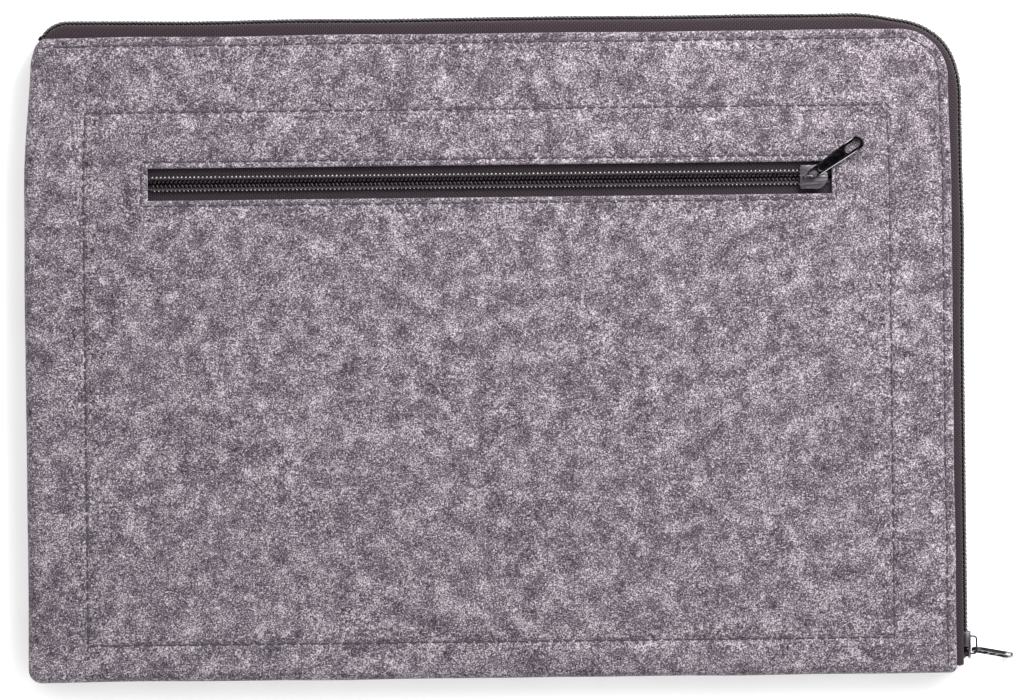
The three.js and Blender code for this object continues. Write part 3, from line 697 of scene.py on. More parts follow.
@dataclass(frozen=True)
class FeltCut:
    """The felt's outline and how it lies: the plan is the same for both panels."""

    left: float
    right: float
    bottom: float
    top: float
    zip_corner: float = 18.5 * MM
    start_corner: float = 4 * MM
    sewn_corner: float = 5 * MM
    end_corner: float = 2.3 * MM
    pull_right: float = 0.5 * MM
    sag_right: float = 1.0 * MM
    sag_left: float = 3.4 * MM
    tuck_left: float = 1.8 * MM
    # How far in from the side edges the pull is felt, and the heights where each sag begins and ends
    right_reach: float = 60 * MM
    left_reach: float = 55 * MM
    sag_heights: tuple[float, float] = (60 * MM, 96 * MM)
    lean_heights: tuple[float, float] = (60 * MM, 118 * MM)
    tuck_heights: tuple[float, float] = (110 * MM, 120 * MM)
    ripple: float = 0.35 * MM
    ripple_size: float = 38 * MM
    ripple_reach: float = 9 * MM
    sewn_blend: float = 4 * MM

    @classmethod
    def from_frame(cls) -> "FeltCut":
        """Reads the outline's box from the front panel."""
        low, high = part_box("front_panel")
        return cls(low.x, high.x, low.y, high.y)

    def corner(self, x: float, y: float) -> tuple[float, float, float]:
        """Returns the nearest corner's radius, and the point's insets from its two edges."""
        right, top = x > 0, y > 0
        radius = self.end_corner if right else self.sewn_corner
        if top:
            radius = self.zip_corner if right else self.start_corner
        inset_x = self.right - x if right else x - self.left
        inset_y = self.top - y if top else y - self.bottom
        return radius, inset_x, inset_y

    def inside(self, x: float, y: float) -> float:
        """Returns how far a point lies inside the outline."""
        radius, inset_x, inset_y = self.corner(x, y)
        if inset_x < radius and inset_y < radius:
            return radius - math.hypot(radius - inset_x, radius - inset_y)
        return min(inset_x, inset_y)

    def inward(self, x: float, y: float) -> Vector:
        """Returns the direction from the outline to its inside."""
        radius, inset_x, inset_y = self.corner(x, y)
        sign = Vector((-1 if x > 0 else 1, -1 if y > 0 else 1, 0))
        if inset_x < radius and inset_y < radius:
            away = Vector((radius - inset_x, radius - inset_y, 0)).normalized()
            return Vector((away.x * sign.x, away.y * sign.y, 0))
        return Vector((sign.x, 0, 0)) if inset_x < inset_y else Vector((0, sign.y, 0))

    def round_corner(self, x: float, y: float) -> tuple[float, float]:
        """Moves a point of the square grid to its place in the rounded outline."""
        radius, inset_x, inset_y = self.corner(x, y)
        if inset_x >= radius or inset_y >= radius:
            return x, y
        a, b = 1 - inset_x / radius, 1 - inset_y / radius
        moved_x = inset_x + radius * (a - a * math.sqrt(1 - b * b / 2))
        moved_y = inset_y + radius * (b - b * math.sqrt(1 - a * a / 2))
        return (
            self.right - moved_x if x > 0 else self.left + moved_x,
            self.top - moved_y if y > 0 else self.bottom + moved_y,
        )

    def closed(self, x: float, y: float) -> float:
        """Returns 1 by the sewn left and bottom edges, 0 by the zipped ones."""
        to_sewn = min(x - self.left, y - self.bottom)
        to_zip = min(self.right - x, self.top - y)
        return smoothstep(-self.sewn_blend, self.sewn_blend, to_zip - to_sewn)

    def settle(self, point: Vector) -> Vector:
        """Moves a point of the flat cut to where the sewn felt really lies in plan."""
        x, y = point.x, point.y
        right_share = smoothstep(self.right - self.right_reach, self.right, x)
        left_share = smoothstep(self.left + self.left_reach, self.left, x)
        sag = self.pull_right + self.sag_right * smoothstep(*self.sag_heights, y)
        lean = self.sag_left * smoothstep(*self.lean_heights, y) ** 1.2
        lean += self.tuck_left * smoothstep(*self.tuck_heights, y)
        pull = lean * left_share - sag * right_share
        wave = self.ripple * noise.noise(Vector((x, y, 0)) / self.ripple_size)
        edge = bump(self.inside(x, y), self.ripple_reach)
        return Vector((x + pull + wave * edge, y + wave * edge, point.z))

    def zip_seam(self) -> Line:
        """Returns the stitch line along the zip, before the felt settles."""
        start_radius = self.start_corner - SEAM_INSET
        start = Vector((self.left + self.start_corner, self.top - self.start_corner, 0))
        turn = Vector((self.right - self.zip_corner, self.top - self.zip_corner, 0))
        end = Vector((self.right - SEAM_INSET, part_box("front_zip_seam_thread")[0].y, 0))
        return Line([
            *arc(start, start_radius, 200, 90, 10),
            *arc(turn, self.zip_corner - SEAM_INSET, 90, 0),
            end,
        ])


@dataclass
class FeltPanel:
    """One felt panel, edges and all: the front one has the pocket's slot."""

    side: Side
    cut: FeltCut
    name: str
    node: str
    slot: tuple[Vector, Vector] | None = None
    sewn: Sequence[Sewn] = ()
    spacing: float = 2.0 * MM
    zip_roll: float = 1.2 * MM
    sewn_roll: float = 3.3 * MM
    slot_roll: float = 0.8 * MM
    groove_depth: float = 0.6 * MM
    groove_width: float = 0.62 * MM
    quilt_depth: float = 0.28 * MM
    quilt_width: float = 3.4 * MM
    loft: float = 0.22 * MM
    loft_size: float = 34 * MM
    loft_margin: float = 12 * MM
    dimple: float = 0.1 * MM
    dimple_size: float = 9 * MM
    headroom: float = 0.2 * MM
    fine_spacing: float = 0.8 * MM
    least_spacing: float = 0.08 * MM
    least_room: float = 0.35 * MM
    # Lines beside the outer edges, the slot's edges and the stitches, in millimetres
    edge_steps: tuple = (0.12, 0.4, 0.8, 1.3, 2.0, 2.6, 3.4)
    slot_steps: tuple = (0.12, 0.4, 0.8)
    seam_steps: tuple = (-1.5, -0.9, -0.45, 0, 0.45, 0.9, 1.5)
    # Levels of the outer wall: share of the way down, and how far it is tucked in
    wall_levels: tuple = ((0.35, -0.15 * MM), (0.5, 0.0), (0.6, 0.35 * MM), (1.0, 0.75 * MM))
    foot_width: float = 1.8 * MM
    slot_wall: float = 0.7 * MM
    rim_search: float = 1 * MM

    def __post_init__(self) -> None:
        """Reads the panel's heights from the frame."""
        low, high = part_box("front_panel")
        self.top_z = high.z
        self.mid_z = low.z
        self.inner_z = high.z - FELT_THICKNESS

    def lines(self, low: float, high: float, seams: Sequence[float], edges: Sequence[float],
              fine: tuple[float, float]) -> list[float]:
        """Chooses the grid's lines one way: close together where the felt bends sharply.

        Args:
            low: The first line.
            high: The last line.
            seams: Stitch lines that cross this direction.
            edges: Slot edges that cross it.
            fine: A stretch that is close together all through.

        Returns:
            The lines in order.
        """
        must = {low, high, *edges}
        for edge, sign in ((low, 1), (high, -1)):
            must |= {edge + sign * step * MM for step in self.edge_steps}
        for edge, sign in zip(edges, (-1, 1)):
            must |= {edge + sign * step * MM for step in self.slot_steps}
        for seam in seams:
            must |= {seam + step * MM for step in self.seam_steps}
        steps = round((fine[1] - fine[0]) / self.fine_spacing)
        wanted = [fine[0] + (fine[1] - fine[0]) * i / steps for i in range(steps + 1)]
        steps = round((high - low) / self.spacing)
        wanted += [low + (high - low) * i / steps for i in range(steps + 1)]
        kept = sorted(value for value in must if low <= value <= high)
        kept = [v for i, v in enumerate(kept)
                if v in edges or i == 0 or v - kept[i - 1] > self.least_spacing]
        for value in wanted:
            if all(abs(value - other) > self.least_room for other in kept):
                kept.append(value)
        return sorted(kept)

    @staticmethod
    def roll(inside: float, radius: float) -> float:
        """Returns how far a rolled edge has dropped at a distance inside it."""
        if inside >= radius:
            return 0.0
        return radius - math.sqrt(max(radius * radius - (radius - inside) ** 2, 0.0))

    def slot_distance(self, x: float, y: float) -> float:
        """Returns how far a point lies outside the slot."""
        low, high = self.slot
        return math.hypot(max(low.x - x, 0, x - high.x), max(low.y - y, 0, y - high.y))

    def height(self, x: float, y: float) -> float:
        """Returns the outer face's height over a point of the flat cut."""
        inside = self.cut.inside(x, y)
        closed = self.cut.closed(x, y)
        roll = self.zip_roll + (self.sewn_roll - self.zip_roll) * closed
        seam = [abs(inside - SEAM_INSET) + 10 * MM * closed]
        seam += [ring.distance(x, y) for ring in self.sewn]
        nearest = min(seam)
        drop = self.roll(inside, roll)
        drop += self.groove_depth * bump(nearest, self.groove_width)
        drop += self.quilt_depth * bump(nearest, self.quilt_width)
        if self.slot:
            drop += self.roll(self.slot_distance(x, y), self.slot_roll)
        # The two panels take their loft from different levels of the noise
        level = 7.0 * self.side.value * MM
        loft = noise.noise(Vector((x, y, level)) / self.loft_size) * self.loft
        loft += noise.noise(Vector((x, y, 0)) / self.dimple_size) * self.dimple
        return self.top_z - self.headroom - drop + loft * smoothstep(0, self.loft_margin, inside)

    def ring(self, bm: bmesh.types.BMesh, edges: list, step: Callable[[Vector], Vector]) -> list:
        """Extrudes a loop of edges and moves the new loop.

        Args:
            bm: The panel.
            edges: The loop.
            step: Gives each new point from its old one.

        Returns:
            The new loop's edges.
        """
        made = bmesh.ops.extrude_edge_only(bm, edges=edges)["geom"]
        fresh = {item for item in made if isinstance(item, bmesh.types.BMVert)}
        for vert in fresh:
            vert.co = step(vert.co)
        return [e for e in made if isinstance(e, bmesh.types.BMEdge) and set(e.verts) <= fresh]

    def wall_step(self, share: float, tuck: float) -> Callable[[Vector], Vector]:
        """Returns the move to a level of the outer wall: share of the way down, tucked inwards."""
        def step(point: Vector) -> Vector:
            closed = self.cut.closed(point.x, point.y)
            foot = self.inner_z + (self.mid_z - self.inner_z) * closed
            moved = point + self.cut.inward(point.x, point.y) * tuck * (0.25 + 0.75 * closed)
            moved.z = point.z + (foot - point.z) * share
            return moved
        return step

    def build(self, palette: Palette) -> bpy.types.Object:
        """Builds the panel.

        Args:
            palette: The sleeve's materials.

        Returns:
            The finished piece.
        """
        cut = self.cut
        low, high = self.slot or (None, None)
        sewn = [corner for ring in self.sewn for corner in (ring.low, ring.high)]
        seams_x = [cut.right - SEAM_INSET, *(corner.x for corner in sewn)]
        seams_y = [cut.top - SEAM_INSET, *(corner.y for corner in sewn)]
        xs = self.lines(cut.left, cut.right, seams_x, [low.x, high.x] if low else [],
                        (cut.right - cut.zip_corner, cut.right))
        ys = self.lines(cut.bottom, cut.top, seams_y, [low.y, high.y] if low else [],
                        (cut.top - cut.zip_corner, cut.top))
        bm = bmesh.new()
        bmesh.ops.create_grid(bm, x_segments=len(xs) - 1, y_segments=len(ys) - 1, size=1)
        for vert in bm.verts:
            column = round((vert.co.x + 1) / 2 * (len(xs) - 1))
            row = round((vert.co.y + 1) / 2 * (len(ys) - 1))
            vert.co = Vector((xs[column], ys[row], 0))
        if self.slot:
            holes = [f for f in bm.faces
                     if self.slot_distance(*f.calc_center_median().xy) <= 0]
            bmesh.ops.delete(bm, geom=holes, context="FACES")
        for vert in bm.verts:
            x, y = cut.round_corner(vert.co.x, vert.co.y)
            vert.co = Vector((x, y, self.height(x, y)))
        rim = [e for e in bm.edges if e.is_boundary]
        outer = [e for e in rim
                 if cut.inside(*((e.verts[0].co + e.verts[1].co) / 2).xy) < self.rim_search]
        slot_rim = [e for e in rim if e not in set(outer)]
        # Outer wall, down to the zip's tape or to the side seam, then its foot and its inner face
        for share, tuck in self.wall_levels:
            outer = self.ring(bm, outer, self.wall_step(share, tuck))
        outer = self.ring(bm, outer, lambda p: p + cut.inward(p.x, p.y) * self.foot_width)
        inner_z = self.inner_z + INNER_GAP
        outer = self.ring(bm, outer, lambda p: Vector((p.x, p.y, inner_z)))
        if slot_rim:
            slot_rim = self.ring(bm, slot_rim, lambda p: Vector((p.x, p.y, p.z - self.slot_wall)))
            slot_rim = self.ring(bm, slot_rim, lambda p: Vector((p.x, p.y, inner_z)))
        bmesh.ops.triangle_fill(bm, edges=outer + slot_rim, use_beauty=True)
        for vert in bm.verts:
            vert.co = cut.settle(vert.co)
            if self.side is Side.BACK:
                vert.co.z = self.top_z - vert.co.z
        bmesh.ops.recalc_face_normals(bm, faces=bm.faces[:])
        piece = finish_mesh(bm, self.name, 60)
        return install(piece, palette.felt, "sleeve", [self.node])


# ---------------------------------------------------------------------------------------------
# Stitching
# ---------------------------------------------------------------------------------------------

@dataclass
class Stitching:
    """A row of lockstitches: short humps of thread that dive into the felt at both ends."""

    width: float = 0.72 * MM
    visible: float = 3.1 * MM
    hump: float = 0.34 * MM
    wander: float = 0.16 * MM
    wander_size: float = 7 * MM

    def unit(self) -> bpy.types.Mesh:
        """Builds one stitch along x, its ends below z = 0."""
        bm = bmesh.new()
        bmesh.ops.create_cone(bm, cap_ends=True, segments=6, radius1=self.width / 2,
                              radius2=self.width / 2, depth=self.visible,
                              matrix=Matrix.Rotation(math.pi / 2, 4, "Y"))
        sides = [e for e in bm.edges if abs(e.verts[0].co.x - e.verts[1].co.x) > 1e-6]
        bmesh.ops.subdivide_edges(bm, edges=sides, cuts=4, use_grid_fill=False)
        for vert in bm.verts:
            share = vert.co.x / (self.visible / 2)
            vert.co.z += self.hump * (0.45 - share * share)
        mesh = bpy.data.meshes.new("stitch_unit")
        bm.to_mesh(mesh)
        bm.free()
        return mesh

    def frames(self, line: Line, surface: Callable[[Vector], Vector], up: Vector) -> list[Matrix]:
        """Returns where each stitch lies along a line.

        Args:
            line: The seam's line on the flat cut.
            surface: Puts a point of that line on the sewn felt.
            up: The way out of the felt.

        Returns:
            One matrix for each stitch.
        """
        count = round(line.length / STITCH_PITCH)
        made = []
        for index in range(count):
            distance = (index + 0.5) * line.length / count
            half = self.visible / 2
            ahead = surface(line.at(distance + half))
            behind = surface(line.at(distance - half))
            along = (ahead - behind).normalized()
            # A needle wanders a little to either side
            across = up.cross(along).normalized()
            wander = noise.noise(Vector((distance / self.wander_size, count, 0))) * self.wander
            middle = surface(line.at(distance)) + across * wander
            turn = Matrix((along, across, along.cross(across))).transposed().to_4x4()
            made.append(Matrix.Translation(middle) @ turn)
        return made

    def sew(self, name: str, node: str, frames: list[Matrix], palette: Palette) -> bpy.types.Object:
        """Makes the whole row as one piece that stands for its node."""
        unit = self.unit()
        bm = repeat(unit, frames)
        bpy.data.meshes.remove(unit)
        piece = finish_mesh(bm, name, 80)
        return install(piece, palette.thread, "sleeve", [node])


# ---------------------------------------------------------------------------------------------
# Zips
# ---------------------------------------------------------------------------------------------

@dataclass(frozen=True)
class ZipRun:
    """Where a zip chain lies: its line on the tape's face, and three directions at each place.

    The tape's face looks along `out`, and the chain's halves lie to either side of its middle
    along `across`.
    """

    line: Line
    out_of: Callable[[float], Vector]
    across: Vector

    def point(self, distance: float, across: float, out: float) -> Vector:
        """Returns the point at a distance along, aside from the middle and out of the tape."""
        return self.line.at(distance) + self.across * across + self.out_of(distance) * out


@dataclass(frozen=True)
class MainZipLay:
    """How the main zip's tape lies: up at the top left, along, round the corner and down."""

    standout: float = 0.35 * MM
    corner_radius: float = 30 * MM
    start_x: float = -156.3 * MM
    start_radius: float = 10 * MM
    start_angle: float = 70
    steps: int = 90
    # The sewn tape stands out at the corner's bend and cuts in early before it, by bearing in degrees
    push: float = 1.2 * MM
    push_at: float = 38
    push_spread: float = 14
    early_cut: float = 1.4 * MM
    cut_at: float = 80
    cut_spread: float = 11
    # It also stands out a little down the side
    bulge: float = 0.5 * MM
    bulge_y: float = 42 * MM
    bulge_spread: float = 15 * MM
    bulge_x: tuple[float, float] = (150 * MM, 175 * MM)
    wave: float = 0.5 * MM
    wave_size: float = 45 * MM
    wave_y: tuple[float, float] = (118 * MM, 123 * MM)

    def line(self, end_y: float) -> Line:
        """Returns the zip's line on the tape's face, in the middle plane.

        Args:
            end_y: Where it ends at the lower right.

        Returns:
            The line from the top left, with the slight waves of a sewn tape.
        """
        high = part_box("main_tape_front")[1] + Vector((self.standout, self.standout, 0))
        middle = frame_middle()
        start = Vector((self.start_x, high.y - self.start_radius, middle))
        turn = Vector((high.x - self.corner_radius, high.y - self.corner_radius, middle))
        points = arc(start, self.start_radius, 90 + self.start_angle, 90, 20)
        points += self.straight(points[-1], turn + Vector((0, self.corner_radius, 0)))[:-1]
        points += arc(turn, self.corner_radius, 90, 0, 40)
        points += self.straight(points[-1], Vector((high.x, end_y, middle)))
        for point in points:
            self.settle(point, turn)
        return Line(points)

    def straight(self, start: Vector, end: Vector) -> list[Vector]:
        """Returns evenly spaced points after the start, up to the end."""
        line = Line([start, end])
        return [line.at(line.length * i / self.steps) for i in range(1, self.steps + 1)]

    def settle(self, point: Vector, turn: Vector) -> None:
        """Moves a point of the drawn line to where the sewn tape lies.

        Args:
            point: The point, which is changed.
            turn: The centre of the round corner.
        """
        spoke = point - turn
        bearing = math.degrees(math.atan2(spoke.y, spoke.x))
        push = self.push * bump(bearing - self.push_at, self.push_spread)
        push -= self.early_cut * bump(bearing - self.cut_at, self.cut_spread)
        point += spoke.normalized() * push
        share = bump(point.y - self.bulge_y, self.bulge_spread)
        point.x += self.bulge * share * smoothstep(*self.bulge_x, point.x)
        place = Vector((point.x, point.y, 3 * MM)) / self.wave_size
        point.y += noise.noise(place) * self.wave * smoothstep(*self.wave_y, point.y)


def frame_middle() -> float:
    """Returns the height of the sleeve's middle plane."""
    return (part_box("back_panel")[0].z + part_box("front_panel")[1].z) / 2


def main_run(end_y: float) -> ZipRun:
    """Returns the main zip's run down to a given end."""
    line = MainZipLay().line(end_y)
    return ZipRun(line, lambda d: UP.cross(line.tangent(d)), UP)


def pocket_run(from_x: float, to_x: float) -> ZipRun:
    """Returns the pocket zip's run between two places along X."""
    low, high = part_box("pocket_tape_upper")
    centre_y = low.y - CHAIN_HALF_SPLIT
    line = Line([Vector((from_x, centre_y, high.z)), Vector((to_x, centre_y, high.z))])
    return ZipRun(line, lambda d: UP, Vector((0, 1, 0)))


@dataclass
class Coil:
    """One half of a nylon coil zip: heads that reach just past the middle and legs sewn down."""

    name: str
    node: str
    run: ZipRun
    sign: int
    reach: float = 3.05 * MM
    head_past: float = 0.12 * MM
    rise: float = 1.85 * MM
    points_per_turn: int = 16
    # Powers under 1 that square off the wire's loop, across and out
    squareness: tuple[float, float] = (0.75, 0.6)
    thread_across: float = 2.15 * MM
    thread_radius: float = 0.13 * MM
    # How far the thread stands over the wire, and dips between two legs
    thread_lift: float = 0.09 * MM
    thread_dip: float = -0.06 * MM

    @property
    def turns(self) -> int:
        """How many whole turns the coil has."""
        return int(self.run.line.length / COIL_PITCH) - 1

    def wire(self) -> list[Vector]:
        """Returns the wire's centre line."""
        inner = -self.head_past + COIL_WIRE_RADIUS
        outer = self.reach - COIL_WIRE_RADIUS
        centre, half = (inner + outer) / 2, (outer - inner) / 2
        low, high = COIL_WIRE_RADIUS, self.rise - COIL_WIRE_RADIUS
        phase = 0.5 if self.sign < 0 else 0.0
        made = []
        for index in range(self.turns * self.points_per_turn + 1):
            turn = index / self.points_per_turn
            angle = 2 * math.pi * turn
            cosine, sine = math.cos(angle), math.sin(angle)
            across = centre - half * math.copysign(abs(cosine) ** self.squareness[0], cosine)
            lift = math.copysign(abs(sine) ** self.squareness[1], sine)
            out = (low + high) / 2 + (high - low) / 2 * lift
            # The legs run square across, so most of each turn's pitch is made at its two ends
            along = (turn + phase + 0.5 - 0.06 * math.sin(2 * angle)) * COIL_PITCH
            made.append(self.run.point(along, self.sign * across, out))
        return made

    def thread(self) -> list[Vector]:
        """Returns the sewing thread that holds the legs: it dips between them."""
        made = []
        for index in range(self.turns * 4 + 1):
            lift = self.rise + (self.thread_lift if index % 4 == 0 else self.thread_dip)
            along = (index / 4 + 0.5) * COIL_PITCH
            made.append(self.run.point(along, self.sign * self.thread_across, lift))
        return made

    def mark_highlit_bends(self, mesh: bpy.types.Mesh, points: int) -> None:
        """Stores where each turn bends back, as the attribute where the finish paints its highlight.

        Args:
            mesh: The wire, ring after ring of vertices.
            points: How many rings it has.
        """
        ring = len(mesh.vertices) // points
        marks = mesh.attributes.new("rubbed", "FLOAT", "POINT")
        values = []
        for vertex in range(len(mesh.vertices)):
            angle = 360 * (min(vertex // ring, points - 1) % self.points_per_turn) / self.points_per_turn
            values.append(1.0 if angle in (0, 180) else 0.0)
        marks.data.foreach_set("value", values)

    def build(self, palette: Palette) -> None:
        """Builds the wire and its thread."""
        points = self.wire()
        wire = tube_along(points, COIL_WIRE_RADIUS, self.name)
        self.mark_highlit_bends(wire.data, len(points))
        install(wire, palette.coil, "sleeve", [self.node])
        thread = tube_along(self.thread(), self.thread_radius, self.name + "_thread", sides=0)
        install(thread, palette.coil_thread, "sleeve")


@dataclass
class MainTape:
    """One tape of the main zip: flat under the felt, bent down to its coil, pinked at its end."""

    side: Side
    width: float = 9.2 * MM
    bend: float = 1.0 * MM
    tooth: float = 1.35 * MM
    cut_slope: float = 0.42
    cut_reach: float = 6 * MM
    spacing: float = 2.2 * MM

    def build(self, palette: Palette) -> bpy.types.Object:
        """Builds the tape and returns it."""
        name = self.side.node("main_tape")
        low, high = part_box("main_tape_front")
        run = main_run(low.y)
        middle = frame_middle()
        edge = CHAIN_HALF_SPLIT
        drop = high.z - middle - self.bend - edge
        turn = self.bend * math.pi / 2
        flat = self.width - self.bend
        across = drop + turn + flat

        def section(v: float) -> tuple[float, float]:
            """Gives inward and upward distances from the chain's edge."""
            run_length = v * across
            if run_length < drop:
                return 0.0, edge + run_length
            if run_length < drop + turn:
                angle = (run_length - drop) / self.bend
                return self.bend * (1 - math.cos(angle)), edge + drop + self.bend * math.sin(angle)
            return self.bend + run_length - drop - turn, edge + drop + self.bend

        def place(u: float, v: float) -> Vector:
            """Puts a point of the flat tape where the sewn tape lies."""
            distance = u * run.line.length
            inwards, up = section(v)
            # Pinking shears cut the end at a slant, in teeth
            cut = abs((v * across / self.tooth) % 1 - 0.5) * self.tooth
            cut += self.cut_slope * max(drop + turn - v * across, 0)
            distance -= cut * smoothstep(run.line.length - self.cut_reach, run.line.length, distance)
            return run.point(distance, self.side.value * up, -inwards)

        columns = round(run.line.length / self.spacing)
        tooth_rows = round(across / self.tooth) * 2
        bm = mapped_grid(columns, tooth_rows, place, (run.line.length, across))
        bm.normal_update()
        # The highest face stands upright on the outer side, so it must look up the sleeve
        topmost = max(bm.faces, key=lambda f: f.calc_center_median().y)
        if topmost.normal.y < 0:
            bmesh.ops.reverse_faces(bm, faces=bm.faces[:])
        thicken(bm, None, TAPE_THICKNESS)
        piece = finish_mesh(bm, name + "_woven", 50)
        return install(piece, palette.tape, "sleeve", [name])


@dataclass
class PocketTape:
    """One tape of the pocket zip, flat behind the slot."""

    upper: bool
    thickness: float = TAPE_THICKNESS
    spacing: tuple[float, float] = (2 * MM, 1.5 * MM)
    slack: float = 0.12 * MM
    slack_size: float = 14 * MM
    gap: float = 0.1 * MM

    def build(self, palette: Palette) -> bpy.types.Object:
        """Builds the tape and returns it."""
        name = "pocket_tape_upper" if self.upper else "pocket_tape_lower"
        low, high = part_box(name)

        def place(u: float, v: float) -> Vector:
            """Puts a point of the tape in place, with the slack that sewing leaves."""
            x = low.x + (high.x - low.x) * u
            y = low.y + (high.y - low.y) * v
            slack = noise.noise(Vector((x, y, 0)) / self.slack_size) * self.slack
            return Vector((x, y, high.z - self.gap + slack))

        size = (high.x - low.x, high.y - low.y)
        columns, rows = (round(length / step) for length, step in zip(size, self.spacing))
        bm = mapped_grid(columns, rows, place, size)
        thicken(bm, UP, self.thickness - self.gap)
        piece = finish_mesh(bm, name + "_woven", 50)
        return install(piece, palette.pocket_tape, "sleeve", [name])


@dataclass
class TopStops:
    """The two stops over the chain's first turns: short wraps of plated wire."""

    place: float = 1.5 * MM
    half_length: float = 0.9 * MM
    width: float = 3.2 * MM
    top: float = 2.1 * MM

    def build(self, palette: Palette) -> None:
        """Builds both stops."""
        for side in Side:
            node = side.node("main_top_stop")
            run = main_run(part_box("main_coil_front")[0].y)
            inner, outer = sorted((0.1 * MM * side.value, self.width * side.value))
            bm = bmesh.new()
            rounded_box(bm, (-self.half_length, inner, 0.05 * MM),
                        (self.half_length, outer, self.top), 0.35 * MM)
            axes = (run.line.tangent(self.place), run.across, run.out_of(self.place))
            turn = Matrix(axes).transposed().to_4x4()
            middle = Matrix.Translation(run.line.at(self.place))
            bmesh.ops.transform(bm, matrix=middle @ turn, verts=bm.verts[:])
            bmesh.ops.recalc_face_normals(bm, faces=bm.faces[:])
            piece = finish_mesh(bm, node + "_wrap")
            install(piece, palette.tab, "sleeve", [node])


# ---------------------------------------------------------------------------------------------
# Sliders and tabs
# ---------------------------------------------------------------------------------------------

def stadium_loop(bm: bmesh.types.BMesh, from_x: float, to_x: float, radius: float,
                 throat: float | None = None) -> list[bmesh.types.BMVert]:
    """Adds a round-ended loop along x.

    Args:
        bm: The bmesh to add it to.
        from_x: Centre of the end at low x.
        to_x: Centre of the end at high x.
        radius: Half the width.
        throat: If given, the low end is flat and this is half its width.

    Returns:
        The loop's vertices.
    """
    half_step = Matrix.Rotation(math.pi / 32, 4, "Z")
    verts = bmesh.ops.create_circle(bm, radius=radius, segments=32, matrix=half_step)["verts"]
    for vert in verts:
        low_end = vert.co.x < 0
        if low_end and throat is not None:
            vert.co = Vector((from_x, vert.co.y * throat / radius, 0))
        else:
            vert.co.x += from_x if low_end else to_x
    return verts


def raise_plate(bm: bmesh.types.BMesh, verts: list, low: float, high: float, rounding: float) -> None:
    """Fills loops of vertices at z = 0 as one flat face with holes and makes a rounded plate of it.

    Args:
        bm: The bmesh.
        verts: The loops' vertices, the outline and the holes.
        low: The plate's underside.
        high: Its top.
        rounding: Radius of its rims.
    """
    loops = {edge for vert in verts for edge in vert.link_edges}
    filled = bmesh.ops.triangle_fill(bm, edges=list(loops), use_beauty=True, normal=(0, 0, 1))
    faces = [item for item in filled["geom"] if isinstance(item, bmesh.types.BMFace)]
    bmesh.ops.translate(bm, vec=(0, 0, low), verts=verts)
    made = bmesh.ops.extrude_face_region(bm, geom=faces)["geom"]
    tops = [item for item in made if isinstance(item, bmesh.types.BMVert)]
    bmesh.ops.translate(bm, vec=(0, 0, high - low), verts=tops)
    plate = {face for vert in verts + tops for face in vert.link_faces}
    bmesh.ops.recalc_face_normals(bm, faces=list(plate))
    rims = [edge for edge in {e for vert in verts + tops for e in vert.link_edges}
            if edge.calc_face_angle(0.0) > math.radians(60)
            and abs(edge.verts[0].co.z - edge.verts[1].co.z) < 1e-7]
    bmesh.ops.bevel(bm, geom=rims, offset=rounding, segments=3, profile=0.5, affect="EDGES",
                    material=-1, clamp_overlap=True)


def rounded_box(bm: bmesh.types.BMesh, low: Sequence[float], high: Sequence[float],
                rounding: float) -> None:
    """Adds a box with rounded edges from its low to its high corner."""
    low, high = Vector(low), Vector(high)
    verts = bmesh.ops.create_cube(bm, size=1)["verts"]
    bmesh.ops.scale(bm, vec=high - low, verts=verts)
    bmesh.ops.translate(bm, vec=(low + high) / 2, verts=verts)
    edges = list({edge for vert in verts for edge in vert.link_edges})
    bmesh.ops.bevel(bm, geom=edges, offset=rounding, segments=2, profile=0.5, affect="EDGES",
                    material=-1, clamp_overlap=True)


@dataclass(frozen=True)
class Bail:
    """Where a slider's bail stands along the chain, and where the tab's bar lies in it."""

    start: float
    end: float
    bar: float
    foot_end: float


MAIN_BAIL = Bail(start=-3.6 * MM, end=3.6 * MM, bar=1.6 * MM, foot_end=3.6 * MM)
POCKET_BAIL = Bail(start=-4.0 * MM, end=0.35 * MM, bar=-2.0 * MM, foot_end=4.1 * MM)
# The main tab's turn, droop and roll, and the pocket tab's turn
MAIN_TAB_ANGLES = (-11, 24, 73)
POCKET_TAB_ANGLE = 34.5


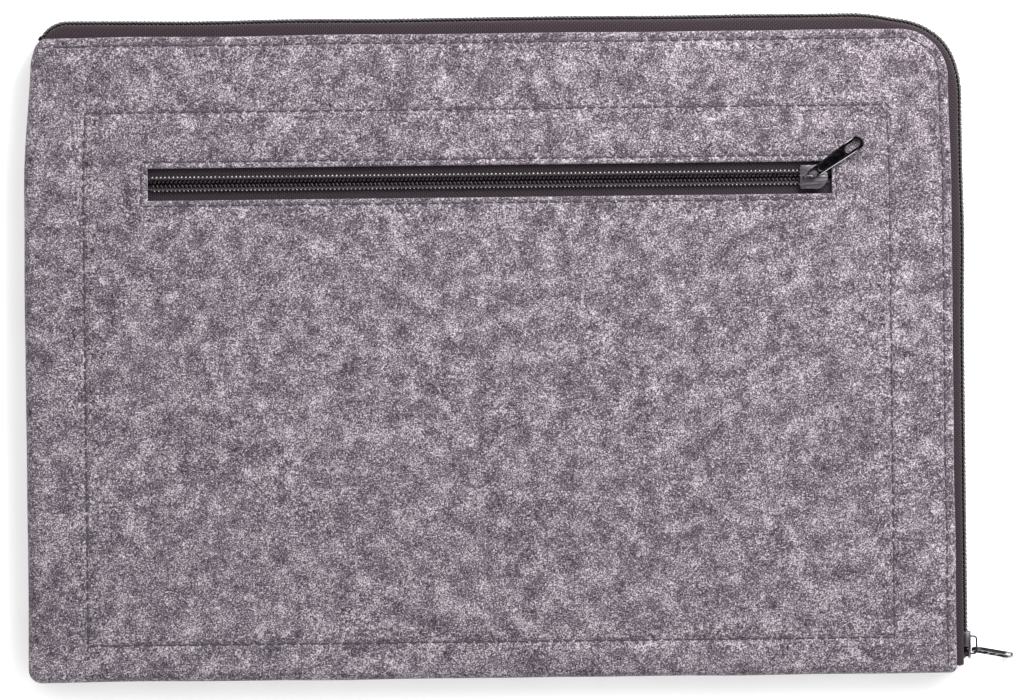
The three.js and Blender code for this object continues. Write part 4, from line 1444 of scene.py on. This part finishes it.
@dataclass
class SliderBody:
    """A slider, built with x to its mouth, z out of the tape and z = 0 on the tape's face."""

    name: str
    node: str
    body: str
    bail: Bail
    frame: Matrix
    half_length: float = 5.2 * MM
    half_width: float = 4.65 * MM
    half_throat: float = 3.7 * MM
    plate_low: float = 2.25 * MM
    plate_top: float = 3.05 * MM
    bottom_low: float = -1.65 * MM
    bottom_top: float = -0.85 * MM
    strip_top: float = 5.7 * MM
    strip: float = 0.7 * MM
    bail_half_width: float = 0.5 * MM
    flange: float = 0.95 * MM
    flange_inner: float = 3.45 * MM
    flange_low: float = 0.35 * MM
    bail_corner: float = 1.1 * MM
    # How deep one part of the casting runs into the next, so that no gap shows
    overlap: float = 0.3 * MM
    plate_rounding: float = 0.25 * MM
    wedge_start: float = 1.6 * MM
    wedge_end: float = 4.4 * MM
    wedge_half_width: float = 0.3 * MM
    spine_rise: float = 0.08 * MM

    def arch(self, palette: Palette) -> bpy.types.Object:
        """Builds the bail, a strip bent up, over and down, and returns it."""
        bm = bmesh.new()
        half = self.strip / 2
        corner = self.bail_corner
        low = self.plate_top - self.overlap
        top = self.strip_top - half
        first, last = self.bail.start + half, self.bail.end - half
        path = Line([
            Vector((first, 0, low)),
            *[Vector((p.x, 0, p.y)) for p in
              arc(Vector((first + corner, top - corner, 0)), corner, 180, 90, 8)],
            *[Vector((p.x, 0, p.y)) for p in
              arc(Vector((last - corner, top - corner, 0)), corner, 90, 0, 8)],
            Vector((last, 0, low)),
        ])
        bmesh.ops.create_cube(bm, size=1)
        long_edges = [e for e in bm.edges if abs(e.verts[0].co.x - e.verts[1].co.x) > 0.5]
        bmesh.ops.bevel(bm, geom=long_edges, offset=0.22, segments=2, profile=0.5,
                        affect="EDGES", material=-1)
        long_edges = [e for e in bm.edges if abs(e.verts[0].co.x - e.verts[1].co.x) > 0.5]
        bmesh.ops.subdivide_edges(bm, edges=long_edges, cuts=30)
        for vert in bm.verts:
            distance = (vert.co.x + 0.5) * path.length
            along = path.tangent(distance, 0.15 * MM)
            out = Vector((0, 1, 0)).cross(along) * -1
            side = Vector((0, vert.co.y * self.bail_half_width * 2, 0))
            vert.co = path.at(distance) + side + out * vert.co.z * self.strip
        bmesh.ops.recalc_face_normals(bm, faces=bm.faces[:])
        bmesh.ops.transform(bm, matrix=self.frame, verts=bm.verts[:])
        piece = finish_mesh(bm, self.body + "_bail", 35)
        return install(piece, palette.bail, self.body)

    def build(self, palette: Palette, plate: bpy.types.Material) -> bpy.types.Object:
        """Builds the slider and its bail.

        Args:
            palette: The sleeve's materials.
            plate: The finish of this slider's plates.

        Returns:
            The slider's body.
        """
        bm = bmesh.new()
        from_x, to_x = -self.half_length, self.half_length - self.half_width
        for low, high in ((self.plate_low, self.plate_top), (self.bottom_low, self.bottom_top)):
            loop = stadium_loop(bm, from_x, to_x, self.half_width, self.half_throat)
            raise_plate(bm, loop, low, high, self.plate_rounding)
        # Flanges that hold the coils together from both sides
        for sign in (-1, 1):
            ends = sorted((sign * self.flange_inner, sign * (self.flange_inner + self.flange)))
            rounded_box(bm, (-self.half_length + self.overlap, ends[0], self.flange_low),
                        (to_x, ends[1], self.plate_low + self.overlap), 0.15 * MM)
        # The wedge that parts the coils
        rounded_box(bm, (self.wedge_start, -self.wedge_half_width, self.bottom_top - self.overlap),
                    (self.wedge_end, self.wedge_half_width, self.plate_low + self.overlap),
                    0.08 * MM)
        # A raised spine between the bail's foot and the mouth
        rounded_box(bm, (self.bail.end - self.strip, -self.bail_half_width,
                         self.plate_top - self.overlap),
                    (self.bail.foot_end, self.bail_half_width, self.plate_top + self.spine_rise),
                    0.06 * MM)
        bmesh.ops.recalc_face_normals(bm, faces=bm.faces[:])
        bmesh.ops.transform(bm, matrix=self.frame, verts=bm.verts[:])
        piece = finish_mesh(bm, self.name, 35)
        self.arch(palette)
        return install(piece, plate, self.body, [self.node])


@dataclass
class PullTab:
    """A die-cast pull tab: ring, recessed web and a window. x runs from its bar to its tip."""

    name: str
    node: str
    body: str
    frame: Matrix
    length: float
    web_end: float
    window_end: float
    half_width: float = 2.55 * MM
    taper: float = 0.24
    cuts: int = 14
    bar: float = 0.75 * MM
    rim: float = 0.75 * MM
    hole_reach: float = 4.3 * MM
    half_thickness: float = 0.6 * MM
    recess: float = 0.34 * MM
    window_half_width: float = 1.35 * MM
    bridge: float = 0.6 * MM
    web_overlap: float = 0.3 * MM
    rim_rounding: float = 0.28 * MM
    highlight_band: float = 0.3 * MM
    # Shares of the length where each long rim gets a painted highlight, at low and at high y
    rubbed_low: tuple[float, float] = (0.2, 0.84)
    rubbed_high: tuple[float, float] = (0.72, 0.88)
    widening: tuple[float, float] = (0.1, 0.85)

    def build(self, palette: Palette) -> bpy.types.Object:
        """Builds the tab and returns it."""
        bm = bmesh.new()
        root = -self.bar / 2
        hole = self.half_width - self.rim
        web_start = self.hole_reach + self.bridge
        window_start = self.web_end + 0.7 * MM
        small = self.window_half_width
        loops = stadium_loop(bm, root + self.half_width, root + self.length - self.half_width,
                             self.half_width)
        loops += stadium_loop(bm, root + self.half_width, self.hole_reach - hole, hole)
        loops += stadium_loop(bm, web_start + hole, self.web_end - hole, hole)
        loops += stadium_loop(bm, window_start + small, self.window_end - small, small)
        raise_plate(bm, loops, -self.half_thickness, self.half_thickness, self.rim_rounding)
        web = Vector((self.web_end + self.web_overlap, hole + self.web_overlap,
                      self.half_thickness - self.recess))
        rounded_box(bm, (web_start - self.web_overlap, -web.y, -web.z), web, 0.05 * MM)
        # Cuts across the straight rails, so that they can carry the painted highlight and widen evenly
        for index in range(1, self.cuts):
            place = Vector((root + self.length * index / self.cuts, 0, 0))
            bmesh.ops.bisect_plane(bm, geom=bm.verts[:] + bm.edges[:] + bm.faces[:], plane_co=place,
                                   plane_no=Vector((1, 0, 0)), dist=1e-6)
        # A painted highlight along one long rim, and along the other near the tip
        rubbed = bm.verts.layers.float.new("rubbed")
        for vert in bm.verts:
            share = (vert.co.x - root) / self.length
            outermost = abs(vert.co.y) > self.half_width - self.highlight_band
            first, last = self.rubbed_low if vert.co.y < 0 else self.rubbed_high
            highlit = outermost and vert.co.z > self.half_thickness / 2 and first < share < last
            vert[rubbed] = 1.0 if highlit else 0.0
        # It widens evenly from its ring to its tip
        for vert in bm.verts:
            narrowing = 1 - smoothstep(*self.widening, vert.co.x / self.length)
            vert.co.y *= 1 - self.taper * narrowing
        bmesh.ops.transform(bm, matrix=self.frame, verts=bm.verts[:])
        piece = finish_mesh(bm, self.name, 35)
        return install(piece, palette.tab, self.body, [self.node])


def joint_point(name: str) -> Vector:
    """Returns a joint's place from the record."""
    return Vector(next(j for j in frame["joints"] if j["name"] == name)["pos_m"])


def main_slider_frame() -> Matrix:
    """Returns the main slider's placing: its mouth faces -Y and its coil side +X."""
    pin = joint_point("main_tab_swing")
    tape_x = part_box("main_tape_front")[1].x
    turn = Matrix(((0, 0, 1), (-1, 0, 0), (0, -1, 0))).to_4x4()
    return Matrix.Translation((tape_x, pin.y + MAIN_BAIL.bar, pin.z)) @ turn


def main_tab_frame() -> Matrix:
    """Returns the main tab's placing: it droops to the right and leans a little over."""
    turn, droop, roll = (Matrix.Rotation(math.radians(angle), 4, axis)
                         for angle, axis in zip(MAIN_TAB_ANGLES, "ZYX"))
    return Matrix.Translation(joint_point("main_tab_swing")) @ turn @ droop @ roll


def pocket_slider_frame() -> Matrix:
    """Returns the pocket slider's placing: unturned on the pocket's tapes."""
    pin = joint_point("pocket_tab_swing")
    tape_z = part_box("pocket_tape_upper")[1].z
    return Matrix.Translation((pin.x - POCKET_BAIL.bar, pin.y, tape_z))


def pocket_tab_frame() -> Matrix:
    """Returns the pocket tab's placing: flat, turned up to the right."""
    turn = Matrix.Rotation(math.radians(POCKET_TAB_ANGLE), 4, "Z")
    return Matrix.Translation(joint_point("pocket_tab_swing")) @ turn


# ---------------------------------------------------------------------------------------------
# Pocket bag
# ---------------------------------------------------------------------------------------------

@dataclass
class PocketBag:
    """The lining behind the slot: it hangs below the slider and rises to its sewn rim."""

    margin: float = 4 * MM
    slope: float = 6 * MM
    thickness: float = 0.5 * MM
    clearance: float = 0.6 * MM
    slack: float = 0.25 * MM
    slack_size: float = 22 * MM
    gap: float = 0.05 * MM
    spacing: float = 3 * MM

    def build(self, palette: Palette) -> bpy.types.Object:
        """Builds the lining and returns it."""
        low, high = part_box("pocket_bag")
        floor = low.z + self.clearance

        def place(u: float, v: float) -> Vector:
            """Puts a point of the flat lining where it hangs."""
            x = low.x + (high.x - low.x) * u
            y = low.y + (high.y - low.y) * v
            to_edge = min(x - low.x, high.x - x, y - low.y, high.y - y) - self.margin
            lift = 1 - smoothstep(0, self.slope, to_edge)
            slack = noise.noise(Vector((x, y, 1 * MM)) / self.slack_size) * self.slack
            return Vector((x, y, floor + (high.z - floor) * lift + slack * (1 - lift) - self.gap))

        size = (high.x - low.x, high.y - low.y)
        columns, rows = (round(length / self.spacing) for length in size)
        bm = mapped_grid(columns, rows, place, size)
        thicken(bm, UP, self.thickness)
        piece = finish_mesh(bm, "pocket_bag_lining", 60)
        return install(piece, palette.lining, "sleeve", ["pocket_bag"])


# ---------------------------------------------------------------------------------------------
# Stage
# ---------------------------------------------------------------------------------------------

@dataclass
class Studio:
    """A pale floor, soft light from the upper right and a camera straight above."""

    view_width: float = 381 * MM
    centre: tuple[float, float] = (8.2 * MM, 2.0 * MM)
    turn_deg: float = -0.65
    distance: float = 4.0
    sensor: float = 36.0
    # Each lamp's place, what it faces, its size and its power
    lamps: tuple = (
        ("key", Vector((0.32, 0.5, 0.46)), Vector((0.05, 0.05, 0)), 0.4, 7.0),
        ("fill", Vector((0.6, 0.6, 1.1)), Vector((0, 0, 0)), 0.8, 10.0),
    )
    sky: float = 1.36
    # The sky is pale up to the first height and dim over the second, with straight up as 1
    sky_heights: tuple[float, float] = (0.84, 0.92)
    overhead: tuple = (0.06, 0.06, 0.065, 1.0)
    table_glow: float = 0.15
    paper_grain: float = 25 * MM

    def floor(self) -> None:
        """Lays the floor just under the sleeve."""
        bm = bmesh.new()
        bmesh.ops.create_grid(bm, x_segments=1, y_segments=1, size=3)
        piece = finish_mesh(bm, "floor")
        material, tree, shader = blank_material("matt_white_paper")
        place = add_node(tree, "ShaderNodeTexCoord").outputs["Object"]
        grain = noise_texture(tree, place, self.paper_grain, 4.0).outputs["Fac"]
        colour = ramp(tree, grain, ((0.0, linear("#fbfbfb")), (1.0, linear("#ffffff"))))
        tree.links.new(colour, shader.inputs["Base Color"])
        # Lit from below like a light table, which keeps it white beside the sleeve
        set_inputs(shader, roughness=1.0, emission_color=(1.0, 1.0, 1.0, 1.0),
                   emission_strength=self.table_glow)
        piece.data.materials.append(material)

    def lamp(self, name: str, place: Vector, target: Vector, size: float, power: float) -> None:
        """Hangs one square soft lamp."""
        data = bpy.data.lights.new(name, "AREA")
        data.size = size
        data.energy = power
        lamp = bpy.data.objects.new(name, data)
        bpy.context.scene.collection.objects.link(lamp)
        lamp.location = place
        lamp.visible_camera = False
        lamp.rotation_euler = (target - place).to_track_quat("-Z", "Y").to_euler()

    def camera(self) -> None:
        """Hangs the camera."""
        data = bpy.data.cameras.new("camera")
        data.sensor_width = self.sensor
        data.lens = self.sensor * self.distance / self.view_width
        data.clip_end = 20
        camera = bpy.data.objects.new("camera", data)
        bpy.context.scene.collection.objects.link(camera)
        camera.location = (*self.centre, self.distance + CAD_BOUNDS[1].z)
        camera.rotation_euler = (0, 0, math.radians(self.turn_deg))
        bpy.context.scene.camera = camera

    def build(self) -> None:
        """Sets the whole stage. The plain view keeps each finish at its stated colour."""
        bpy.context.scene.view_settings.view_transform = "Standard"
        self.floor()
        for lamp in self.lamps:
            self.lamp(*lamp)
        world = bpy.data.worlds.new("studio")
        world.use_nodes = True
        background = world.node_tree.nodes["Background"]
        # The camera and its arm hang overhead, so polished tops look dark and their rims light
        tree = world.node_tree
        way = add_node(tree, "ShaderNodeTexCoord").outputs["Generated"]
        height = add_node(tree, "ShaderNodeSeparateXYZ", links={"Vector": way})
        pale = (1.0, 1.0, 1.0, 1.0)
        first, last = self.sky_heights
        colour = ramp(tree, height.outputs["Z"], ((0.0, pale), (first, pale), (last, self.overhead)))
        tree.links.new(colour, background.inputs["Color"])
        background.inputs["Strength"].default_value = self.sky
        bpy.context.scene.world = world
        self.camera()


# ---------------------------------------------------------------------------------------------
# Assembly
# ---------------------------------------------------------------------------------------------

@dataclass
class Sleeve:
    """The whole sleeve."""

    palette: Palette
    slot_inset: float = 2.4 * MM
    # The slot's cut edges have stretched a little below and to the right of the frame's slot
    slot_below: float = 0.4 * MM
    slot_right: float = 0.7 * MM
    side_thread_inset: float = 0.25 * MM
    cord_across: float = 1.5 * MM
    cord_radius: float = 0.24 * MM
    cord_spacing: float = 2 * MM

    def felts(self) -> tuple[FeltPanel, FeltPanel, Sewn, Sewn]:
        """Builds both felt panels and returns them with the two sewn rectangles."""
        cut = FeltCut.from_frame()
        bag, slot_ring = Sewn.around("pocket_bag_thread"), Sewn.around("pocket_slot_thread")
        inset = Vector((self.slot_inset, self.slot_inset, 0))
        slot = (slot_ring.low + inset - Vector((0, self.slot_below, 0)),
                slot_ring.high - inset + Vector((self.slot_right, 0, 0)))
        front = FeltPanel(Side.FRONT, cut, "front_felt", "front_panel", slot, (bag, slot_ring))
        back = FeltPanel(Side.BACK, cut, "back_felt", "back_panel")
        back_piece = back.build(self.palette)
        front_piece = front.build(self.palette)
        return front, back, bag, slot_ring

    def seams(self, front: FeltPanel, back: FeltPanel, bag: Sewn, slot_ring: Sewn) -> None:
        """Sews every stitch line."""
        stitching = Stitching()
        cut = front.cut

        def on_panel(panel: FeltPanel) -> Callable[[Vector], Vector]:
            """Returns what puts a point of the flat cut on a panel's outer face."""
            def surface(point: Vector) -> Vector:
                moved = cut.settle(Vector((point.x, point.y, panel.height(point.x, point.y))))
                if panel.side is Side.BACK:
                    moved.z = panel.top_z - moved.z
                return moved
            return surface

        rows = (
            ("front_zip_seam", "front_zip_seam_thread", cut.zip_seam(), front, UP),
            ("pocket_bag_seam", "pocket_bag_thread", bag.line(), front, UP),
            ("pocket_slot_seam", "pocket_slot_thread", slot_ring.line(), front, UP),
            ("back_zip_seam", "back_zip_seam_thread", cut.zip_seam(), back, -UP),
        )
        for name, node, line, panel, out in rows:
            frames = stitching.frames(line, on_panel(panel), out)
            stitching.sew(name, node, frames, self.palette)
        self.side_seam(stitching, cut)

    def side_seam(self, stitching: Stitching, cut: FeltCut) -> None:
        """Sews the closed left and bottom edges together, inside the felt's turned walls."""
        low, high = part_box("side_seam_thread")
        inset = low.x - cut.left + self.side_thread_inset
        corner = Vector((cut.left + cut.sewn_corner, cut.bottom + cut.sewn_corner, 0))
        middle = (low.z + high.z) / 2
        radius = max(cut.sewn_corner - inset, 0.5 * MM)
        line = Line([
            Vector((cut.left + inset, high.y, middle)),
            *[Vector((p.x, p.y, middle)) for p in arc(corner, radius, 180, 270, 6)],
            Vector((high.x, cut.bottom + inset, middle)),
        ])
        frames = stitching.frames(line, cut.settle, UP)
        stitching.sew("side_seam", "side_seam_thread", frames, self.palette)

    def main_zip(self) -> None:
        """Builds the main zip's tapes, coils and stops."""
        for side in Side:
            MainTape(side).build(self.palette)
            node = side.node("main_coil")
            run = main_run(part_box(node)[0].y)
            Coil(node + "_wire", node, run, side.value, rise=MAIN_COIL_RISE).build(self.palette)
        TopStops().build(self.palette)

    def pocket_zip(self) -> None:
        """Builds the pocket zip's tapes and coils, and its bag."""
        for upper in (True, False):
            PocketTape(upper).build(self.palette)
            node = "pocket_coil_upper" if upper else "pocket_coil_lower"
            low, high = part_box(node)
            run = pocket_run(low.x, high.x)
            Coil(node + "_wire", node, run, 1 if upper else -1).build(self.palette)
        bag = PocketBag().build(self.palette)
        low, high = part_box("pocket_bag")

    def metalwork(self) -> None:
        """Builds both sliders and their tabs."""
        SliderBody("main_slider_cast", "main_slider_body", "main_slider", MAIN_BAIL,
                   main_slider_frame()).build(self.palette, self.palette.edge_plate)
        SliderBody("pocket_slider_cast", "pocket_slider_body", "pocket_slider", POCKET_BAIL,
                   pocket_slider_frame()).build(self.palette, self.palette.pocket_plate)
        PullTab("main_tab_cast", "main_pull_tab", "main_tab", main_tab_frame(),
                length=17 * MM, web_end=9.4 * MM, window_end=14.6 * MM, taper=0.0,
                hole_reach=6.2 * MM).build(self.palette)
        PullTab("pocket_tab_cast", "pocket_pull_tab", "pocket_tab", pocket_tab_frame(),
                length=25 * MM, web_end=16.2 * MM, window_end=23.2 * MM).build(self.palette)

    def cords(self) -> None:
        """Dresses the pocket zip's filler cords and lays the main zip's along its coils."""
        for name, node in frame["nodes"].items():
            if name.startswith("pocket_filler_cord"):
                node.data.materials.clear()
                node.data.materials.append(self.palette.cord)
                LOG.info("%s: dressed", name)
        for side in Side:
            node = side.node("main_filler_cord")
            run = main_run(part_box(node)[0].y)
            steps = round(run.line.length / self.cord_spacing)
            points = [run.point(run.line.length * (i + 0.5) / (steps + 1),
                                self.cord_across * side.value, MAIN_COIL_RISE / 2)
                      for i in range(steps + 1)]
            cord = tube_along(points, self.cord_radius, node + "_twist")
            install(cord, self.palette.cord, "sleeve", [node])

    def build(self) -> None:
        """Builds everything in order."""
        front, back, bag, slot_ring = self.felts()
        self.seams(front, back, bag, slot_ring)
        self.main_zip()
        self.pocket_zip()
        self.metalwork()
        self.cords()


def main() -> None:
    """Builds the sleeve and its stage."""
    logging.basicConfig(level=logging.INFO, format="%(name)s: %(message)s")
    Studio().build()
    Sleeve(Palette.build()).build()


if __name__ == "__main__":
    main()
